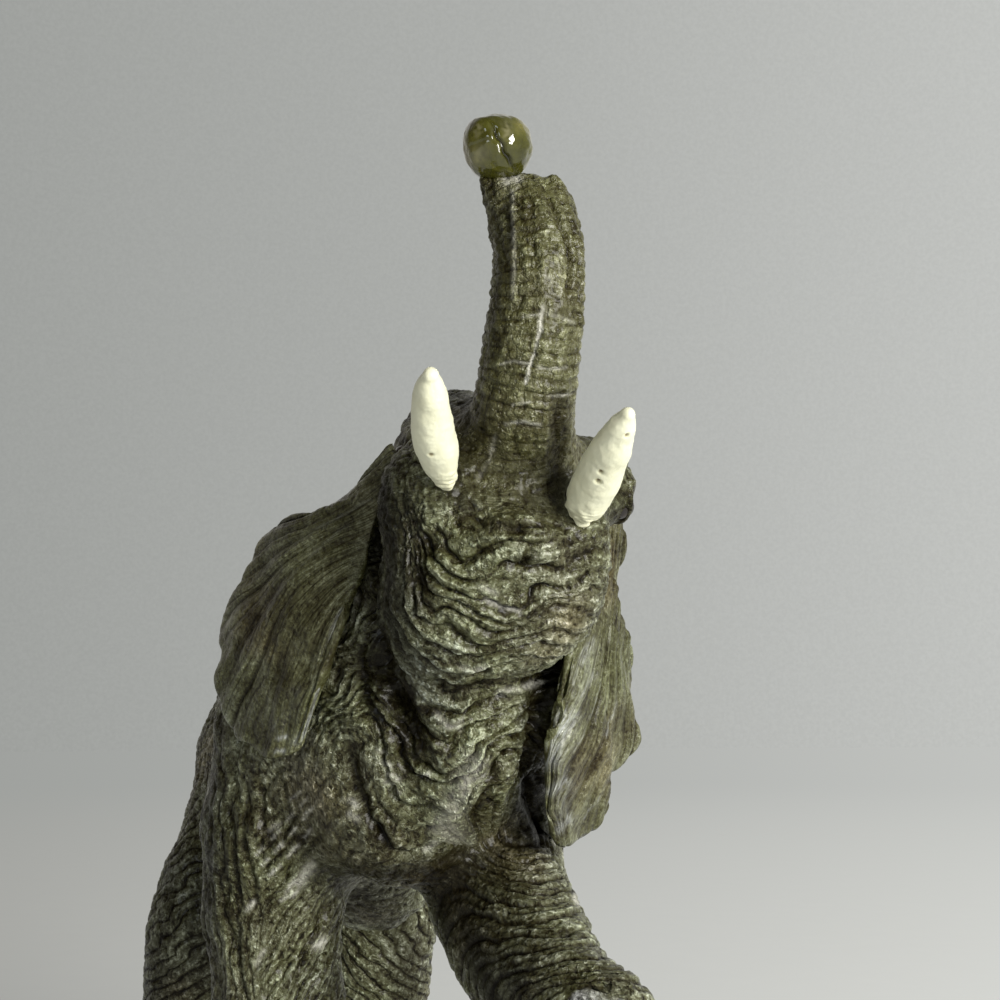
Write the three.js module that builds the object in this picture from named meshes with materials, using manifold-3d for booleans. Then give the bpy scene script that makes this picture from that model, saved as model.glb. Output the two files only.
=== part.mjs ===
// Toy wild animal figure: a cast-resin elephant with its trunk raised, standing
// on three feet with the left forefoot lifted, glued up from separate castings.
// Millimetres, +Z up, the animal faces -Y and its own left is +X. The origin is
// the centre of the footprint box on the ground plane.
import * as THREE from 'three';
import { mergeVertices } from 'three/addons/utils/BufferGeometryUtils.js';
import Module from 'manifold-3d';

const wasm = await Module();
wasm.setup();

// ---------------------------------------------------------------- dimensions
const JOINT_GAP = 0.3;          // glue line between two castings
const SEAT_GAP = 0.35;          // clearance around a seated tusk, eye or bead
const EAR_SEAT_GAP = 0.6;       // clearance of the slot an ear root sits in
const EAR_THICKNESS = 1.9;      // cast ear sheet
const EAR_BULGE = 3.2;          // outward dish of the ear sheet
const EAR_RUFFLE = 0.9;         // ripple of the free edge
const BEAD_DIAMETER = 10.4;     // bead held on the trunk tip
const EYE_DIAMETER = 4.4;
const EYE_INSET = 1.7;                           // ball centre below the lid
const LEG_PEG = { d: 8, out: 7, fit: 0.6 };      // integral locating pegs
const HEAD_PEG = { d: 14, out: 9, fit: 0.6 };
const TRUNK_PEG = { d: 6, out: 6, fit: 0.6 };

// facet pitch of each casting
const PITCH = { torso: 6.2, leg: 4.55, head: 4.0, trunk: 3.0 };

// ------------------------------------------------- anatomy of the resin body
// Limbs and torso are chains of spheres, stations [x, y, z, radius], joined by
// cones along a smooth curve; masses are ellipsoids. "k" is the blend radius.
const HEAD_AXES = [             // side, forward, up of the thrown-back head
  [0.9721, -0.1366, -0.1908],
  [0.0632, -0.6306, 0.7735],
  [0.2260, 0.7640, 0.6044],
];
const BODY = [
  { chain: [[0, -10, 87, 26], [0, 8, 89, 29.5], [2.5, 30, 86.5, 30.5], [5.5, 52, 84.5, 30.5],
            [7.5, 70, 86, 28], [9, 82, 87, 24]], k: 6, narrow: 1.27 },            // barrel
  { chain: [[0, -4, 114, 6], [1, 12, 117, 4], [4, 42, 114.5, 4], [7, 68, 115, 4.5],
            [8, 86, 109, 5], [8, 97, 98, 6]], k: 9 },                             // spine
  { at: [1, -25, 83], r: [17.5, 14, 22], k: 9 },                                  // chest
  { at: [-17, -2, 82], r: [13, 17, 25], k: 9 },                                   // shoulders
  { at: [18, -6, 84], r: [12, 17, 24], k: 9 },
  { at: [-8.5, 71, 75], r: [14, 19, 25], k: 9 },                                  // haunches
  { at: [20, 74, 80], r: [13, 19, 27], k: 9 },
  { at: [10, 36, 60], r: [14, 17, 14], k: 7 },                                    // belly
  { chain: [[-17.5, 0, 68, 14], [-17, 2, 48, 12.4], [-16, 0, 30, 11.5],
            [-15.5, -1, 14, 11.6], [-15.5, -2, 4, 13]], k: 5 },                   // right foreleg
  { chain: [[-11, 70, 64, 14], [-18.3, 68, 46, 13.6], [-19.8, 72, 29, 12.6],
            [-19.5, 75, 14, 12], [-19.5, 73, 4, 13]], k: 5 },                     // right hind leg
  { chain: [[18.5, 69, 60, 17], [20.2, 68, 46, 14.4], [20.6, 73, 29, 13.2],
            [20, 75, 14, 12.4], [20, 73, 4, 13]], k: 5 },                         // left hind leg
  { chain: [[18.2, -15.27, 72.6, 13.4], [16.9, -22.21, 64.38, 11.9], [16.8, -29.29, 57.37, 11.4],
            [16.85, -40.1, 51.2, 10.4], [16.69, -52, 47.2, 9.2],
            [18, -61, 43.2, 10.5]], k: 5 },                                       // lifted left foreleg
  { chain: [[0, -6, 96, 26], [1, -24, 101, 22], [3, -38, 109, 18.5]], k: 8 },     // neck
  { at: [5.43, -36.1, 117.19], r: [17, 19, 18], k: 6, head: true },               // skull
  { at: [4.41, -53.07, 124.13], r: [14, 16, 15], k: 6, head: true },              // face
  { at: [0.61, -57.46, 107.93], r: [14.5, 17, 11], k: 6, head: true },            // lower jaw
  { at: [2.49, -70.98, 113.57], r: [6.5, 5.5, 3.4], k: 3, head: true },           // lower lip
  { at: [-8.52, -58.24, 122.26], r: [6.5, 9, 7.5], k: 6, head: true },            // tusk sheaths
  { at: [13.84, -61.38, 117.88], r: [6.5, 9, 7.5], k: 6, head: true },
  { at: [-0.5, -45.34, 134.22], r: [7, 8, 8], k: 8 },                             // brows
  { at: [21.9, -52.68, 127.2], r: [7, 7.6, 7.8], k: 8 },
  { at: [16, -26, 92], r: [11, 13, 20], k: 7 },                                   // side of the neck
  { at: [4.82, -38.71, 88.57], r: [14, 12, 14], k: 8 },                            // dewlap
  { at: [11.47, -59.56, 108.39], r: [9.4, 12, 9.4], k: 5, head: true },            // left jowl
  { chain: [[13.59, -22.76, 58.13, 9], [14.86, -33.77, 50.39, 9], [16.28, -46.27, 44.75, 8.5]],
    k: 4 },                                                                       // inside of the lifted leg
  { chain: [[10.04, -52.08, 124.67, 9.2], [7.05, -60.43, 129.54, 8.4], [4.66, -68.02, 134.94, 7.9],
            [4.23, -71.7, 141.76, 7.6], [4.41, -73.77, 150.45, 7.1], [4.54, -74.35, 156.78, 6.8],
            [4.15, -73.9, 161.54, 6.5], [3.2, -72.9, 164.5, 5.5]], k: 4 },        // trunk
  { chain: [[6.02, -76.8, 168.1, 1.1], [7.3, -76.5, 165.6, 1.9], [8.5, -75.9, 161.8, 2.2],
            [9.3, -75.5, 158, 2.1], [9.8, -75.2, 153, 1.5]], k: 0.9 },            // flap of the trunk tip
  { chain: [[-2.9, -72.6, 168.2, 1.4], [-1.3, -72.5, 165.6, 1.9], [0.2, -72.3, 161.5, 2.4]], k: 2.4 },
  { chain: [[-0.6, -73.6, 166, 2.3], [1.6, -74, 166, 2.4], [3.6, -74.8, 165.8, 2]], k: 2 },
];

// Free edge of each ear sheet, and the line along which it leaves the head.
const EAR_RIGHT = {
  edge: [[-11.14, -52.82, 131.31], [-13.6, -47.08, 128.16], [-16.16, -41.23, 124.54],
    [-18.93, -35.55, 122.41], [-21.31, -31.18, 122.06], [-23.28, -27.64, 121.93],
    [-25.26, -24.08, 120.42], [-26.95, -20.66, 117.83], [-28.12, -17.31, 113.28],
    [-29.84, -13.84, 109.18], [-31.39, -11.52, 103.88], [-30.65, -12.99, 100.16],
    [-31.54, -11.84, 95.87], [-30.65, -13.61, 91.02], [-28.85, -16.99, 86.09],
    [-26.76, -20.68, 84.94], [-24.86, -23.41, 82.98], [-22.56, -27.79, 82.88],
    [-20.58, -31.61, 84.05], [-19.57, -33.47, 87.11], [-18.21, -35.71, 92.38],
    [-16.95, -38.18, 99.2], [-15.48, -40.45, 105.67]],
  root: [[-10.74, -53.8, 128.62], [-13.57, -43.06, 109.36]],
};
const EAR_LEFT = {
  edge: [[27.58, -46.77, 125.6], [30.95, -43.76, 123.46], [33.18, -41.66, 118.97],
    [33.04, -40.21, 115.83], [31.5, -40.54, 110.89], [35.73, -36.09, 104.75],
    [38.32, -32.86, 99.17], [38.39, -31.67, 93.23], [41.24, -28.74, 86.92],
    [39.65, -29.48, 83.23], [35.61, -31.83, 80.35], [33.01, -33.33, 78.87],
    [34.38, -31.85, 74.19], [31.76, -33.37, 70.93], [27.54, -36.17, 69.2],
    [22.55, -40.65, 68.17], [18.97, -43.35, 69.57], [16.89, -45.99, 73.74],
    [15.75, -48.03, 79.36], [16.13, -48.89, 84.89], [17.6, -49.18, 89.81],
    [19.85, -48.9, 94.8], [21.95, -48.66, 101]],
  root: [[24.75, -49.8, 124.15], [20.22, -51.59, 106.13]],
};
const EAR_OUT = [-0.3378, -0.9281, -0.1564];     // side the sheets dish towards

// Stations [x, y, z, radius] of the turned and drawn pieces.
const TUSK_RIGHT = [[-6.98, -66.52, 122.43, 1.2], [-7.96, -68.08, 124.21, 2.9],
  [-9.7, -70.62, 127.07, 3.55], [-11.43, -73.65, 129.61, 3.5], [-13.04, -77.3, 132.37, 3],
  [-13.95, -80.3, 134.3, 2.35], [-14.5, -82.1, 135.3, 1.4]];
const TUSK_LEFT = [[13.06, -69.49, 119.15, 1.4], [13.21, -71.42, 120.7, 3.2],
  [13.2, -74.47, 122.79, 3.75], [12.96, -77.96, 124.87, 3.65], [12.53, -82.49, 127.12, 3.05],
  [12.27, -86.3, 129.1, 2.25], [12.08, -88.8, 130.5, 1.2]];
const TAIL = [[0, 93, 104, 4.2], [0, 103, 95, 3.4], [0.5, 107, 80, 2.6], [1.5, 105, 64, 2.3],
  [2.5, 102, 52, 3.3], [3, 101, 42, 2.4], [3, 101, 37, 0.8]];
const BEAD_CENTRE = [-1.79, -74.29, 173.32];
const EYE_RIGHT = { at: [-9.86, -49.92, 130.45], out: [-0.972, 0.137, 0.191] };
const EYE_LEFT = { at: [28.05, -55.25, 123.01], out: [0.972, -0.137, -0.191] };

// Joint planes: a casting is what lies beyond "at" in direction "out", inside
// a block "side" wide either way and "reach" long.
const JOINTS = {
  leg_front_right: { at: [-21, -1, 56], out: [0, 0, -1], side: [18, 22], reach: 62 },
  leg_hind_right: { at: [-20.15, 74, 53], out: [0, 0, -1], side: [20, 24], reach: 60 },
  leg_hind_left: { at: [20.15, 74, 53], out: [0, 0, -1], side: [20, 24], reach: 60 },
  leg_front_left: { at: [17.9, -23.62, 63.48], out: [-0.0846, -0.7497, -0.6563], side: [15, 19], reach: 75 },
  head: { at: [1.5, -29, 104], out: [0.0865, -0.923, 0.375], side: [34, 36], reach: 80 },
  trunk: { at: [4.65, -68.06, 135.23], out: [-0.0615, -0.4793, 0.8755], side: [18, 18], reach: 60 },
};

// ------------------------------------------------------------- sphere chains
function stations(points, steps) {
  const out = [];
  const n = points.length;
  for (let i = 0; i < n - 1; i++) {
    const p0 = points[Math.max(i - 1, 0)], p1 = points[i], p2 = points[i + 1];
    const p3 = points[Math.min(i + 2, n - 1)];
    for (let j = 0; j < steps; j++) {
      const t = j / steps;
      out.push(p1.map((_, c) => 0.5 * (2 * p1[c] + (p2[c] - p0[c]) * t
        + (2 * p0[c] - 5 * p1[c] + 4 * p2[c] - p3[c]) * t * t
        + (3 * p1[c] - p0[c] - 3 * p2[c] + p3[c]) * t * t * t)));
    }
  }
  out.push(points[n - 1].slice());
  return out;
}

const parts = BODY.map((m) => {
  if (!m.chain) return { ...m, axes: m.head ? HEAD_AXES : [[1, 0, 0], [0, 1, 0], [0, 0, 1]] };
  return { ...m, narrow: m.narrow ?? 1, pts: stations(m.chain, 3) };
});

function ellipsoid(m, x, y, z) {
  const dx = x - m.at[0], dy = y - m.at[1], dz = z - m.at[2];
  let a = 0, b = 0;
  for (let i = 0; i < 3; i++) {
    const q = m.axes[i][0] * dx + m.axes[i][1] * dy + m.axes[i][2] * dz;
    a += (q / m.r[i]) ** 2;
    b += (q / (m.r[i] * m.r[i])) ** 2;
  }
  a = Math.sqrt(a);
  return a * (a - 1) / Math.max(Math.sqrt(b), 1e-9);
}

function chain(m, x0, y, z) {
  const s = m.narrow, x = x0 * s;
  let best = Infinity;
  for (let i = 0; i < m.pts.length - 1; i++) {
    const a = m.pts[i], b = m.pts[i + 1];
    const ux = (b[0] - a[0]) * s, uy = b[1] - a[1], uz = b[2] - a[2];
    const px = x - a[0] * s, py = y - a[1], pz = z - a[2];
    const h = Math.min(1, Math.max(0, (px * ux + py * uy + pz * uz) / (ux * ux + uy * uy + uz * uz)));
    const d = Math.hypot(px - h * ux, py - h * uy, pz - h * uz) - (a[3] + (b[3] - a[3]) * h);
    if (d < best) best = d;
  }
  return best / (1 + (s - 1) * 0.5);
}

// Signed distance of the whole resin body, negative inside, flat soles at z = 0.
function body(x, y, z) {
  let d = null;
  for (const m of parts) {
    const e = m.pts ? chain(m, x, y, z) : ellipsoid(m, x, y, z);
    if (d === null) { d = e; continue; }
    const h = Math.min(1, Math.max(0, 0.5 + 0.5 * (e - d) / m.k));
    d = e * (1 - h) + d * h - m.k * h * (1 - h);
  }
  return d;
}

// -------------------------------------------------------- field to geometry
// One vertex per crossed cell, one quad per crossed grid edge; the grid's own
// border counts as outside, so the shell always closes.
function skin(field, lo, hi, pitch) {
  const n = [0, 1, 2].map((i) => Math.ceil((hi[i] - lo[i]) / pitch) + 1);
  const at = (i, j, k) => (i * n[1] + j) * n[2] + k;
  const v = new Float64Array(n[0] * n[1] * n[2]);
  for (let i = 0; i < n[0]; i++) for (let j = 0; j < n[1]; j++) for (let k = 0; k < n[2]; k++) {
    const rim = i === 0 || j === 0 || k === 0 || i === n[0] - 1 || j === n[1] - 1 || k === n[2] - 1;
    const d = field(lo[0] + i * pitch, lo[1] + j * pitch, lo[2] + k * pitch);
    v[at(i, j, k)] = rim ? Math.max(d, pitch * 0.3) : d;
  }
  const cell = new Int32Array(v.length).fill(-1);
  const pos = [], index = [];
  const C = [[0, 0, 0], [1, 0, 0], [0, 1, 0], [1, 1, 0], [0, 0, 1], [1, 0, 1], [0, 1, 1], [1, 1, 1]];
  for (let i = 0; i < n[0] - 1; i++) for (let j = 0; j < n[1] - 1; j++) for (let k = 0; k < n[2] - 1; k++) {
    let sx = 0, sy = 0, sz = 0, m = 0;
    for (let a = 0; a < 8; a++) for (let b = a + 1; b < 8; b++) {
      const A = C[a], B = C[b];
      if (Math.abs(A[0] - B[0]) + Math.abs(A[1] - B[1]) + Math.abs(A[2] - B[2]) !== 1) continue;
      const va = v[at(i + A[0], j + A[1], k + A[2])], vb = v[at(i + B[0], j + B[1], k + B[2])];
      if ((va < 0) === (vb < 0)) continue;
      const t = va / (va - vb);
      sx += A[0] + t * (B[0] - A[0]); sy += A[1] + t * (B[1] - A[1]); sz += A[2] + t * (B[2] - A[2]);
      m++;
    }
    if (!m) continue;
    cell[at(i, j, k)] = pos.length / 3;
    pos.push(lo[0] + (i + sx / m) * pitch, lo[1] + (j + sy / m) * pitch, lo[2] + (k + sz / m) * pitch);
  }
  for (let i = 0; i < n[0] - 1; i++) for (let j = 0; j < n[1] - 1; j++) for (let k = 0; k < n[2] - 1; k++) {
    for (let d = 0; d < 3; d++) {
      if ((d !== 0 && i === 0) || (d !== 1 && j === 0) || (d !== 2 && k === 0)) continue;
      const e = [0, 0, 0]; e[d] = 1;
      const a = v[at(i, j, k)] < 0, b = v[at(i + e[0], j + e[1], k + e[2])] < 0;
      if (a === b) continue;
      const u = [0, 0, 0], w = [0, 0, 0]; u[(d + 1) % 3] = 1; w[(d + 2) % 3] = 1;
      const q = [
        cell[at(i - u[0] - w[0], j - u[1] - w[1], k - u[2] - w[2])],
        cell[at(i - w[0], j - w[1], k - w[2])],
        cell[at(i, j, k)],
        cell[at(i - u[0], j - u[1], k - u[2])],
      ];
      if (!a) q.reverse();
      index.push(q[0], q[1], q[2], q[0], q[2], q[3]);
    }
  }
  const g = new THREE.BufferGeometry();
  g.setAttribute('position', new THREE.Float32BufferAttribute(pos, 3));
  g.setIndex(index);
  return g;
}

// --------------------------------------------------------- lofts and sheets
// Round loft through stations, closed by a point at each end.
function loft(points, around, steps) {
  const st = stations(points, steps);
  const curve = new THREE.CatmullRomCurve3(st.map((p) => new THREE.Vector3(p[0], p[1], p[2])));
  const pos = [], index = [];
  const side = new THREE.Vector3(1, 0.2, 0);
  const last = st.length - 1;
  st.forEach((p, i) => {
    const t = curve.getTangent(i / last);
    const u = new THREE.Vector3().crossVectors(t, side).normalize();
    const w = new THREE.Vector3().crossVectors(t, u);
    for (let a = 0; a < around; a++) {
      const f = 2 * Math.PI * a / around;
      pos.push(p[0] + p[3] * (u.x * Math.cos(f) + w.x * Math.sin(f)),
        p[1] + p[3] * (u.y * Math.cos(f) + w.y * Math.sin(f)),
        p[2] + p[3] * (u.z * Math.cos(f) + w.z * Math.sin(f)));
    }
  });
  const t0 = curve.getTangent(0), t1 = curve.getTangent(1), a0 = st[0], a1 = st[last];
  pos.push(a0[0] - t0.x * a0[3] * 0.4, a0[1] - t0.y * a0[3] * 0.4, a0[2] - t0.z * a0[3] * 0.4);
  pos.push(a1[0] + t1.x * a1[3] * 0.4, a1[1] + t1.y * a1[3] * 0.4, a1[2] + t1.z * a1[3] * 0.4);
  const c0 = (last + 1) * around, c1 = c0 + 1;
  for (let i = 0; i < last; i++) for (let a = 0; a < around; a++) {
    const b = (a + 1) % around;
    index.push(i * around + a, i * around + b, (i + 1) * around + b,
      i * around + a, (i + 1) * around + b, (i + 1) * around + a);
  }
  for (let a = 0; a < around; a++) {
    const b = (a + 1) % around;
    index.push(c0, b, a, c1, last * around + a, last * around + b);
  }
  const g = new THREE.BufferGeometry();
  g.setAttribute('position', new THREE.Float32BufferAttribute(pos, 3));
  g.setIndex(index);
  return g;
}

function evenly(points, count) {
  const d = [0];
  for (let i = 1; i < points.length; i++) {
    d.push(d[i - 1] + Math.hypot(...points[i].map((c, a) => c - points[i - 1][a])));
  }
  const out = [];
  for (let i = 0; i < count; i++) {
    const s = d[d.length - 1] * i / (count - 1);
    let j = 1;
    while (j < d.length - 1 && d[j] < s) j++;
    const t = (s - d[j - 1]) / (d[j] - d[j - 1]);
    out.push(points[j].map((c, a) => points[j - 1][a] * (1 - t) + c * t));
  }
  return out;
}

// Ear: a dished, rippled sheet ruled between its root line and its free edge.
function earSheet(ear, around, across, slack = 0) {
  const thickness = EAR_THICKNESS + 2 * slack;
  const edge = evenly(ear.edge, around), root = evenly(ear.root, around);
  const mid = [];
  for (let i = 0; i < around; i++) {
    mid.push([]);
    for (let j = 0; j < across; j++) {
      const s = j / (across - 1), t = i / (around - 1);
      const lift = EAR_BULGE * Math.sin(Math.PI * s) * Math.sin(Math.PI * (0.08 + 0.84 * t))
        + EAR_RUFFLE * Math.sin(t * 37) * s * s;
      mid[i].push(new THREE.Vector3(...root[i].map((c, a) => c * (1 - s) + edge[i][a] * s + EAR_OUT[a] * lift)));
    }
  }
  if (slack) {
    const push = (p, q) => p.addScaledVector(p.clone().sub(q).normalize(), slack);
    for (const row of mid) { push(row[0], row[1]); push(row[across - 1], row[across - 2]); }
    for (let j = 0; j < across; j++) { push(mid[0][j], mid[1][j]); push(mid[around - 1][j], mid[around - 2][j]); }
  }
  const pos = [], index = [];
  const id = (i, j, b) => (b * around + i) * across + j;
  for (const b of [0, 1]) for (let i = 0; i < around; i++) for (let j = 0; j < across; j++) {
    const du = mid[Math.min(i + 1, around - 1)][j].clone().sub(mid[Math.max(i - 1, 0)][j]);
    const dv = mid[i][Math.min(j + 1, across - 1)].clone().sub(mid[i][Math.max(j - 1, 0)]);
    const p = mid[i][j].clone().addScaledVector(du.cross(dv).normalize(), (b ? -0.5 : 0.5) * thickness);
    pos.push(p.x, p.y, p.z);
  }
  const quad = (a, b, c, d) => index.push(a, b, c, a, c, d);
  for (let i = 0; i < around - 1; i++) for (let j = 0; j < across - 1; j++) {
    quad(id(i, j, 0), id(i + 1, j, 0), id(i + 1, j + 1, 0), id(i, j + 1, 0));
    quad(id(i, j, 1), id(i, j + 1, 1), id(i + 1, j + 1, 1), id(i + 1, j, 1));
  }
  const last = across - 1, end = around - 1;
  for (let i = 0; i < end; i++) {
    quad(id(i, 0, 0), id(i, 0, 1), id(i + 1, 0, 1), id(i + 1, 0, 0));
    quad(id(i + 1, last, 0), id(i + 1, last, 1), id(i, last, 1), id(i, last, 0));
  }
  for (let j = 0; j < last; j++) {
    quad(id(0, j, 0), id(0, j + 1, 0), id(0, j + 1, 1), id(0, j, 1));
    quad(id(end, j, 1), id(end, j + 1, 1), id(end, j + 1, 0), id(end, j, 0));
  }
  const g = new THREE.BufferGeometry();
  g.setAttribute('position', new THREE.Float32BufferAttribute(pos, 3));
  g.setIndex(index);
  return g;
}

// ------------------------------------------------------------------- solids
function solid(geometry) {
  let g = geometry.clone();
  g.deleteAttribute('normal');
  g.deleteAttribute('uv');
  g = mergeVertices(g, 1e-4);
  const idx = Uint32Array.from(g.index.array);
  const p = g.attributes.position.array;
  let volume = 0;
  for (let i = 0; i < idx.length; i += 3) {
    const [a, b, c] = [idx[i] * 3, idx[i + 1] * 3, idx[i + 2] * 3];
    volume += p[a] * (p[b + 1] * p[c + 2] - p[b + 2] * p[c + 1])
      - p[a + 1] * (p[b] * p[c + 2] - p[b + 2] * p[c])
      + p[a + 2] * (p[b] * p[c + 1] - p[b + 1] * p[c]);
  }
  if (volume < 0) for (let i = 0; i < idx.length; i += 3) [idx[i + 1], idx[i + 2]] = [idx[i + 2], idx[i + 1]];
  return new wasm.Manifold(new wasm.Mesh({
    numProp: 3, vertProperties: Float32Array.from(p), triVerts: idx,
  }));
}

// The largest connected piece, so a cut never leaves a loose crumb.
function main(s) {
  return s.decompose().sort((a, b) => b.volume() - a.volume())[0];
}

function frame(joint) {
  const out = new THREE.Vector3(...joint.out).normalize();
  const side = Math.abs(out.x) < 0.9 ? new THREE.Vector3(1, 0, 0) : new THREE.Vector3(0, 1, 0);
  side.addScaledVector(out, -side.dot(out)).normalize();
  const other = new THREE.Vector3().crossVectors(out, side);
  return { out, side, other };
}

// Block holding everything beyond the joint plane, "extra" mm before it.
function block(joint, extra) {
  const { out, side, other } = frame(joint);
  const g = new THREE.BoxGeometry(joint.side[0] * 2, joint.side[1] * 2, joint.reach + extra);
  g.translate(0, 0, (joint.reach - extra) / 2);
  const m = new THREE.Matrix4().makeBasis(side, other, out);
  m.setPosition(...joint.at);
  return solid(g.applyMatrix4(m));
}

function peg(joint, at, diameter, from, to) {
  const { out } = frame(joint);
  const g = new THREE.CylinderGeometry(diameter / 2, diameter / 2, to - from, 20);
  g.translate(0, (to + from) / 2, 0);
  g.applyQuaternion(new THREE.Quaternion().setFromUnitVectors(new THREE.Vector3(0, 1, 0), out));
  g.translate(...at);
  return solid(g);
}

const ground = solid(new THREE.BoxGeometry(400, 400, 400).translate(0, 0, 200));
const flatSole = (s) => s.intersect(ground);

// ---------------------------------------------------------------- castings
const earRight = main(solid(earSheet(EAR_RIGHT, 24, 6)));
const earLeft = main(solid(earSheet(EAR_LEFT, 24, 6)));
// Slot for an ear: the sheet with clearance, plus a groove along its root line.
function earSlot(ear) {
  const [a, b] = ear.root.map((p) => new THREE.Vector3(...p));
  const along = b.clone().sub(a).normalize();
  const r = EAR_THICKNESS / 2 + EAR_SEAT_GAP + 0.5;
  const ends = [a.clone().addScaledVector(along, -1.5), a.clone().lerp(b, 0.5), b.clone().addScaledVector(along, 3)];
  const groove = solid(loft(ends.map((p) => [p.x, p.y, p.z, r]), 10, 2));
  return solid(earSheet(ear, 24, 6, EAR_SEAT_GAP)).add(groove);
}
const earRightSeat = earSlot(EAR_RIGHT);
const earLeftSeat = earSlot(EAR_LEFT);
const grow = (points, by) => points.map((p) => [p[0], p[1], p[2], p[3] + by]);
const tuskRight = solid(loft(TUSK_RIGHT, 12, 1));
const tuskLeft = solid(loft(TUSK_LEFT, 12, 1));
const tail = solid(loft(TAIL, 8, 2));
const ball = (at, d, w, h) => solid(new THREE.SphereGeometry(d / 2, w, h).translate(...at));
const bead = ball(BEAD_CENTRE, BEAD_DIAMETER, 18, 12);
const eyeAt = (e) => e.at.map((c, i) => c - e.out[i] * EYE_INSET);
const eyeRight = ball(eyeAt(EYE_RIGHT), EYE_DIAMETER, 12, 8);
const eyeLeft = ball(eyeAt(EYE_LEFT), EYE_DIAMETER, 12, 8);
const eyeSeats = ball(eyeAt(EYE_RIGHT), EYE_DIAMETER + 2 * SEAT_GAP, 16, 12)
  .add(ball(eyeAt(EYE_LEFT), EYE_DIAMETER + 2 * SEAT_GAP, 16, 12));

function casting(lo, hi, pitch) {
  return solid(skin(body, lo, hi, pitch));
}

const J = JOINTS;
const legPegs = {
  leg_front_right: [-17.2, 1.6, 56], leg_hind_right: [-18.3, 68.8, 53],
  leg_hind_left: [18.3, 68.8, 53], leg_front_left: J.leg_front_left.at,
};
const legBoxes = {
  leg_front_right: [[-36, -24, -6], [6, 22, 60]], leg_hind_right: [[-40, 48, -6], [3, 100, 57]],
  leg_hind_left: [[-3, 48, -6], [40, 100, 57]], leg_front_left: [[-3.1, -79.3, 27.2], [38, -8, 82]],
};
const legs = {};
for (const name of Object.keys(legBoxes)) {
  const [lo, hi] = legBoxes[name];
  const cut = flatSole(casting(lo, hi, PITCH.leg).intersect(block(J[name], 0)));
  legs[name] = main(main(cut).add(peg(J[name], legPegs[name], LEG_PEG.d, -LEG_PEG.out, 3)));
}

let head = casting([-24, -84, 66], [42, -16, 150], PITCH.head).intersect(block(J.head, 0));
head = main(head.subtract(block(J.trunk, JOINT_GAP)));
head = head.subtract(earRightSeat).subtract(earLeftSeat)
  .subtract(solid(loft(grow(TUSK_RIGHT, SEAT_GAP), 12, 1)))
  .subtract(solid(loft(grow(TUSK_LEFT, SEAT_GAP), 12, 1)))
  .subtract(eyeSeats)
  .subtract(peg(J.trunk, J.trunk.at, TRUNK_PEG.d + TRUNK_PEG.fit, -TRUNK_PEG.out - 0.5 - JOINT_GAP, 3));
head = main(main(head).add(peg(J.head, J.head.at, HEAD_PEG.d, -HEAD_PEG.out, 3)));

let trunk = casting([-12, -90, 126], [22, -54, 178], PITCH.trunk).intersect(block(J.trunk, 0));
trunk = main(trunk).subtract(ball(BEAD_CENTRE, BEAD_DIAMETER + 2 * SEAT_GAP, 24, 16));
trunk = main(main(trunk).add(peg(J.trunk, J.trunk.at, TRUNK_PEG.d, -TRUNK_PEG.out, 3)));

let torso = casting([-44, -52, 41], [44, 116, 134], PITCH.torso);
for (const name of ['head', ...Object.keys(legs)]) torso = torso.subtract(block(J[name], JOINT_GAP));
torso = main(torso);
for (const name of Object.keys(legs)) {
  torso = torso.subtract(peg(J[name], legPegs[name], LEG_PEG.d + LEG_PEG.fit, -LEG_PEG.out - 0.5, 3));
}
torso = torso.subtract(peg(J.head, J.head.at, HEAD_PEG.d + HEAD_PEG.fit, -HEAD_PEG.out - 0.5, 3))
  .subtract(solid(loft(grow(TAIL, SEAT_GAP), 8, 2)))
  .subtract(earRightSeat).subtract(earLeftSeat);
torso = main(torso);

// ------------------------------------------------------------- scene graph
const resin = (color, roughness) => new THREE.MeshStandardMaterial({ color, roughness, metalness: 0 });
const part = new THREE.Group();
part.name = 'elephant_figure';

function place(parent, name, shape, pivot, material) {
  const m = shape.getMesh();
  const g = new THREE.BufferGeometry();
  const p = Float64Array.from(m.vertProperties);
  for (let i = 0; i < p.length; i += 3) { p[i] -= pivot[0]; p[i + 1] -= pivot[1]; p[i + 2] -= pivot[2]; }
  g.setAttribute('position', new THREE.Float32BufferAttribute(p, 3));
  g.setIndex(Array.from(m.triVerts));
  g.computeVertexNormals();
  const mesh = new THREE.Mesh(g, material);
  mesh.name = name;
  const base = parent.userData.pivot ?? [0, 0, 0];
  mesh.position.set(pivot[0] - base[0], pivot[1] - base[1], pivot[2] - base[2]);
  parent.add(mesh);
  return mesh;
}

function joint(parent, pivot) {
  const g = new THREE.Group();
  const base = parent.userData.pivot ?? [0, 0, 0];
  g.position.set(pivot[0] - base[0], pivot[1] - base[1], pivot[2] - base[2]);
  g.userData.pivot = pivot;
  parent.add(g);
  return g;
}

place(part, 'torso', torso, [0, 30, 90], resin(0x4b4a3c, 0.5));
place(part, 'leg_front_right', legs.leg_front_right, J.leg_front_right.at, resin(0x4a493b, 0.5));
place(part, 'leg_front_left', legs.leg_front_left, J.leg_front_left.at, resin(0x4c4b3d, 0.5));
place(part, 'leg_hind_right', legs.leg_hind_right, J.leg_hind_right.at, resin(0x48473a, 0.5));
place(part, 'leg_hind_left', legs.leg_hind_left, J.leg_hind_left.at, resin(0x48473a, 0.5));
place(part, 'tail', tail, [0, 93, 104], resin(0x414034, 0.5));
const neck = joint(part, J.head.at);
place(neck, 'head', head, J.head.at, resin(0x4c4b3a, 0.5));
place(neck, 'ear_right', earRight, EAR_RIGHT.root[0], resin(0x3e3e32, 0.5));
place(neck, 'ear_left', earLeft, EAR_LEFT.root[0], resin(0x45453a, 0.45));
place(neck, 'tusk_right', tuskRight, TUSK_RIGHT[0].slice(0, 3), resin(0xe6e6d2, 0.55));
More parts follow.
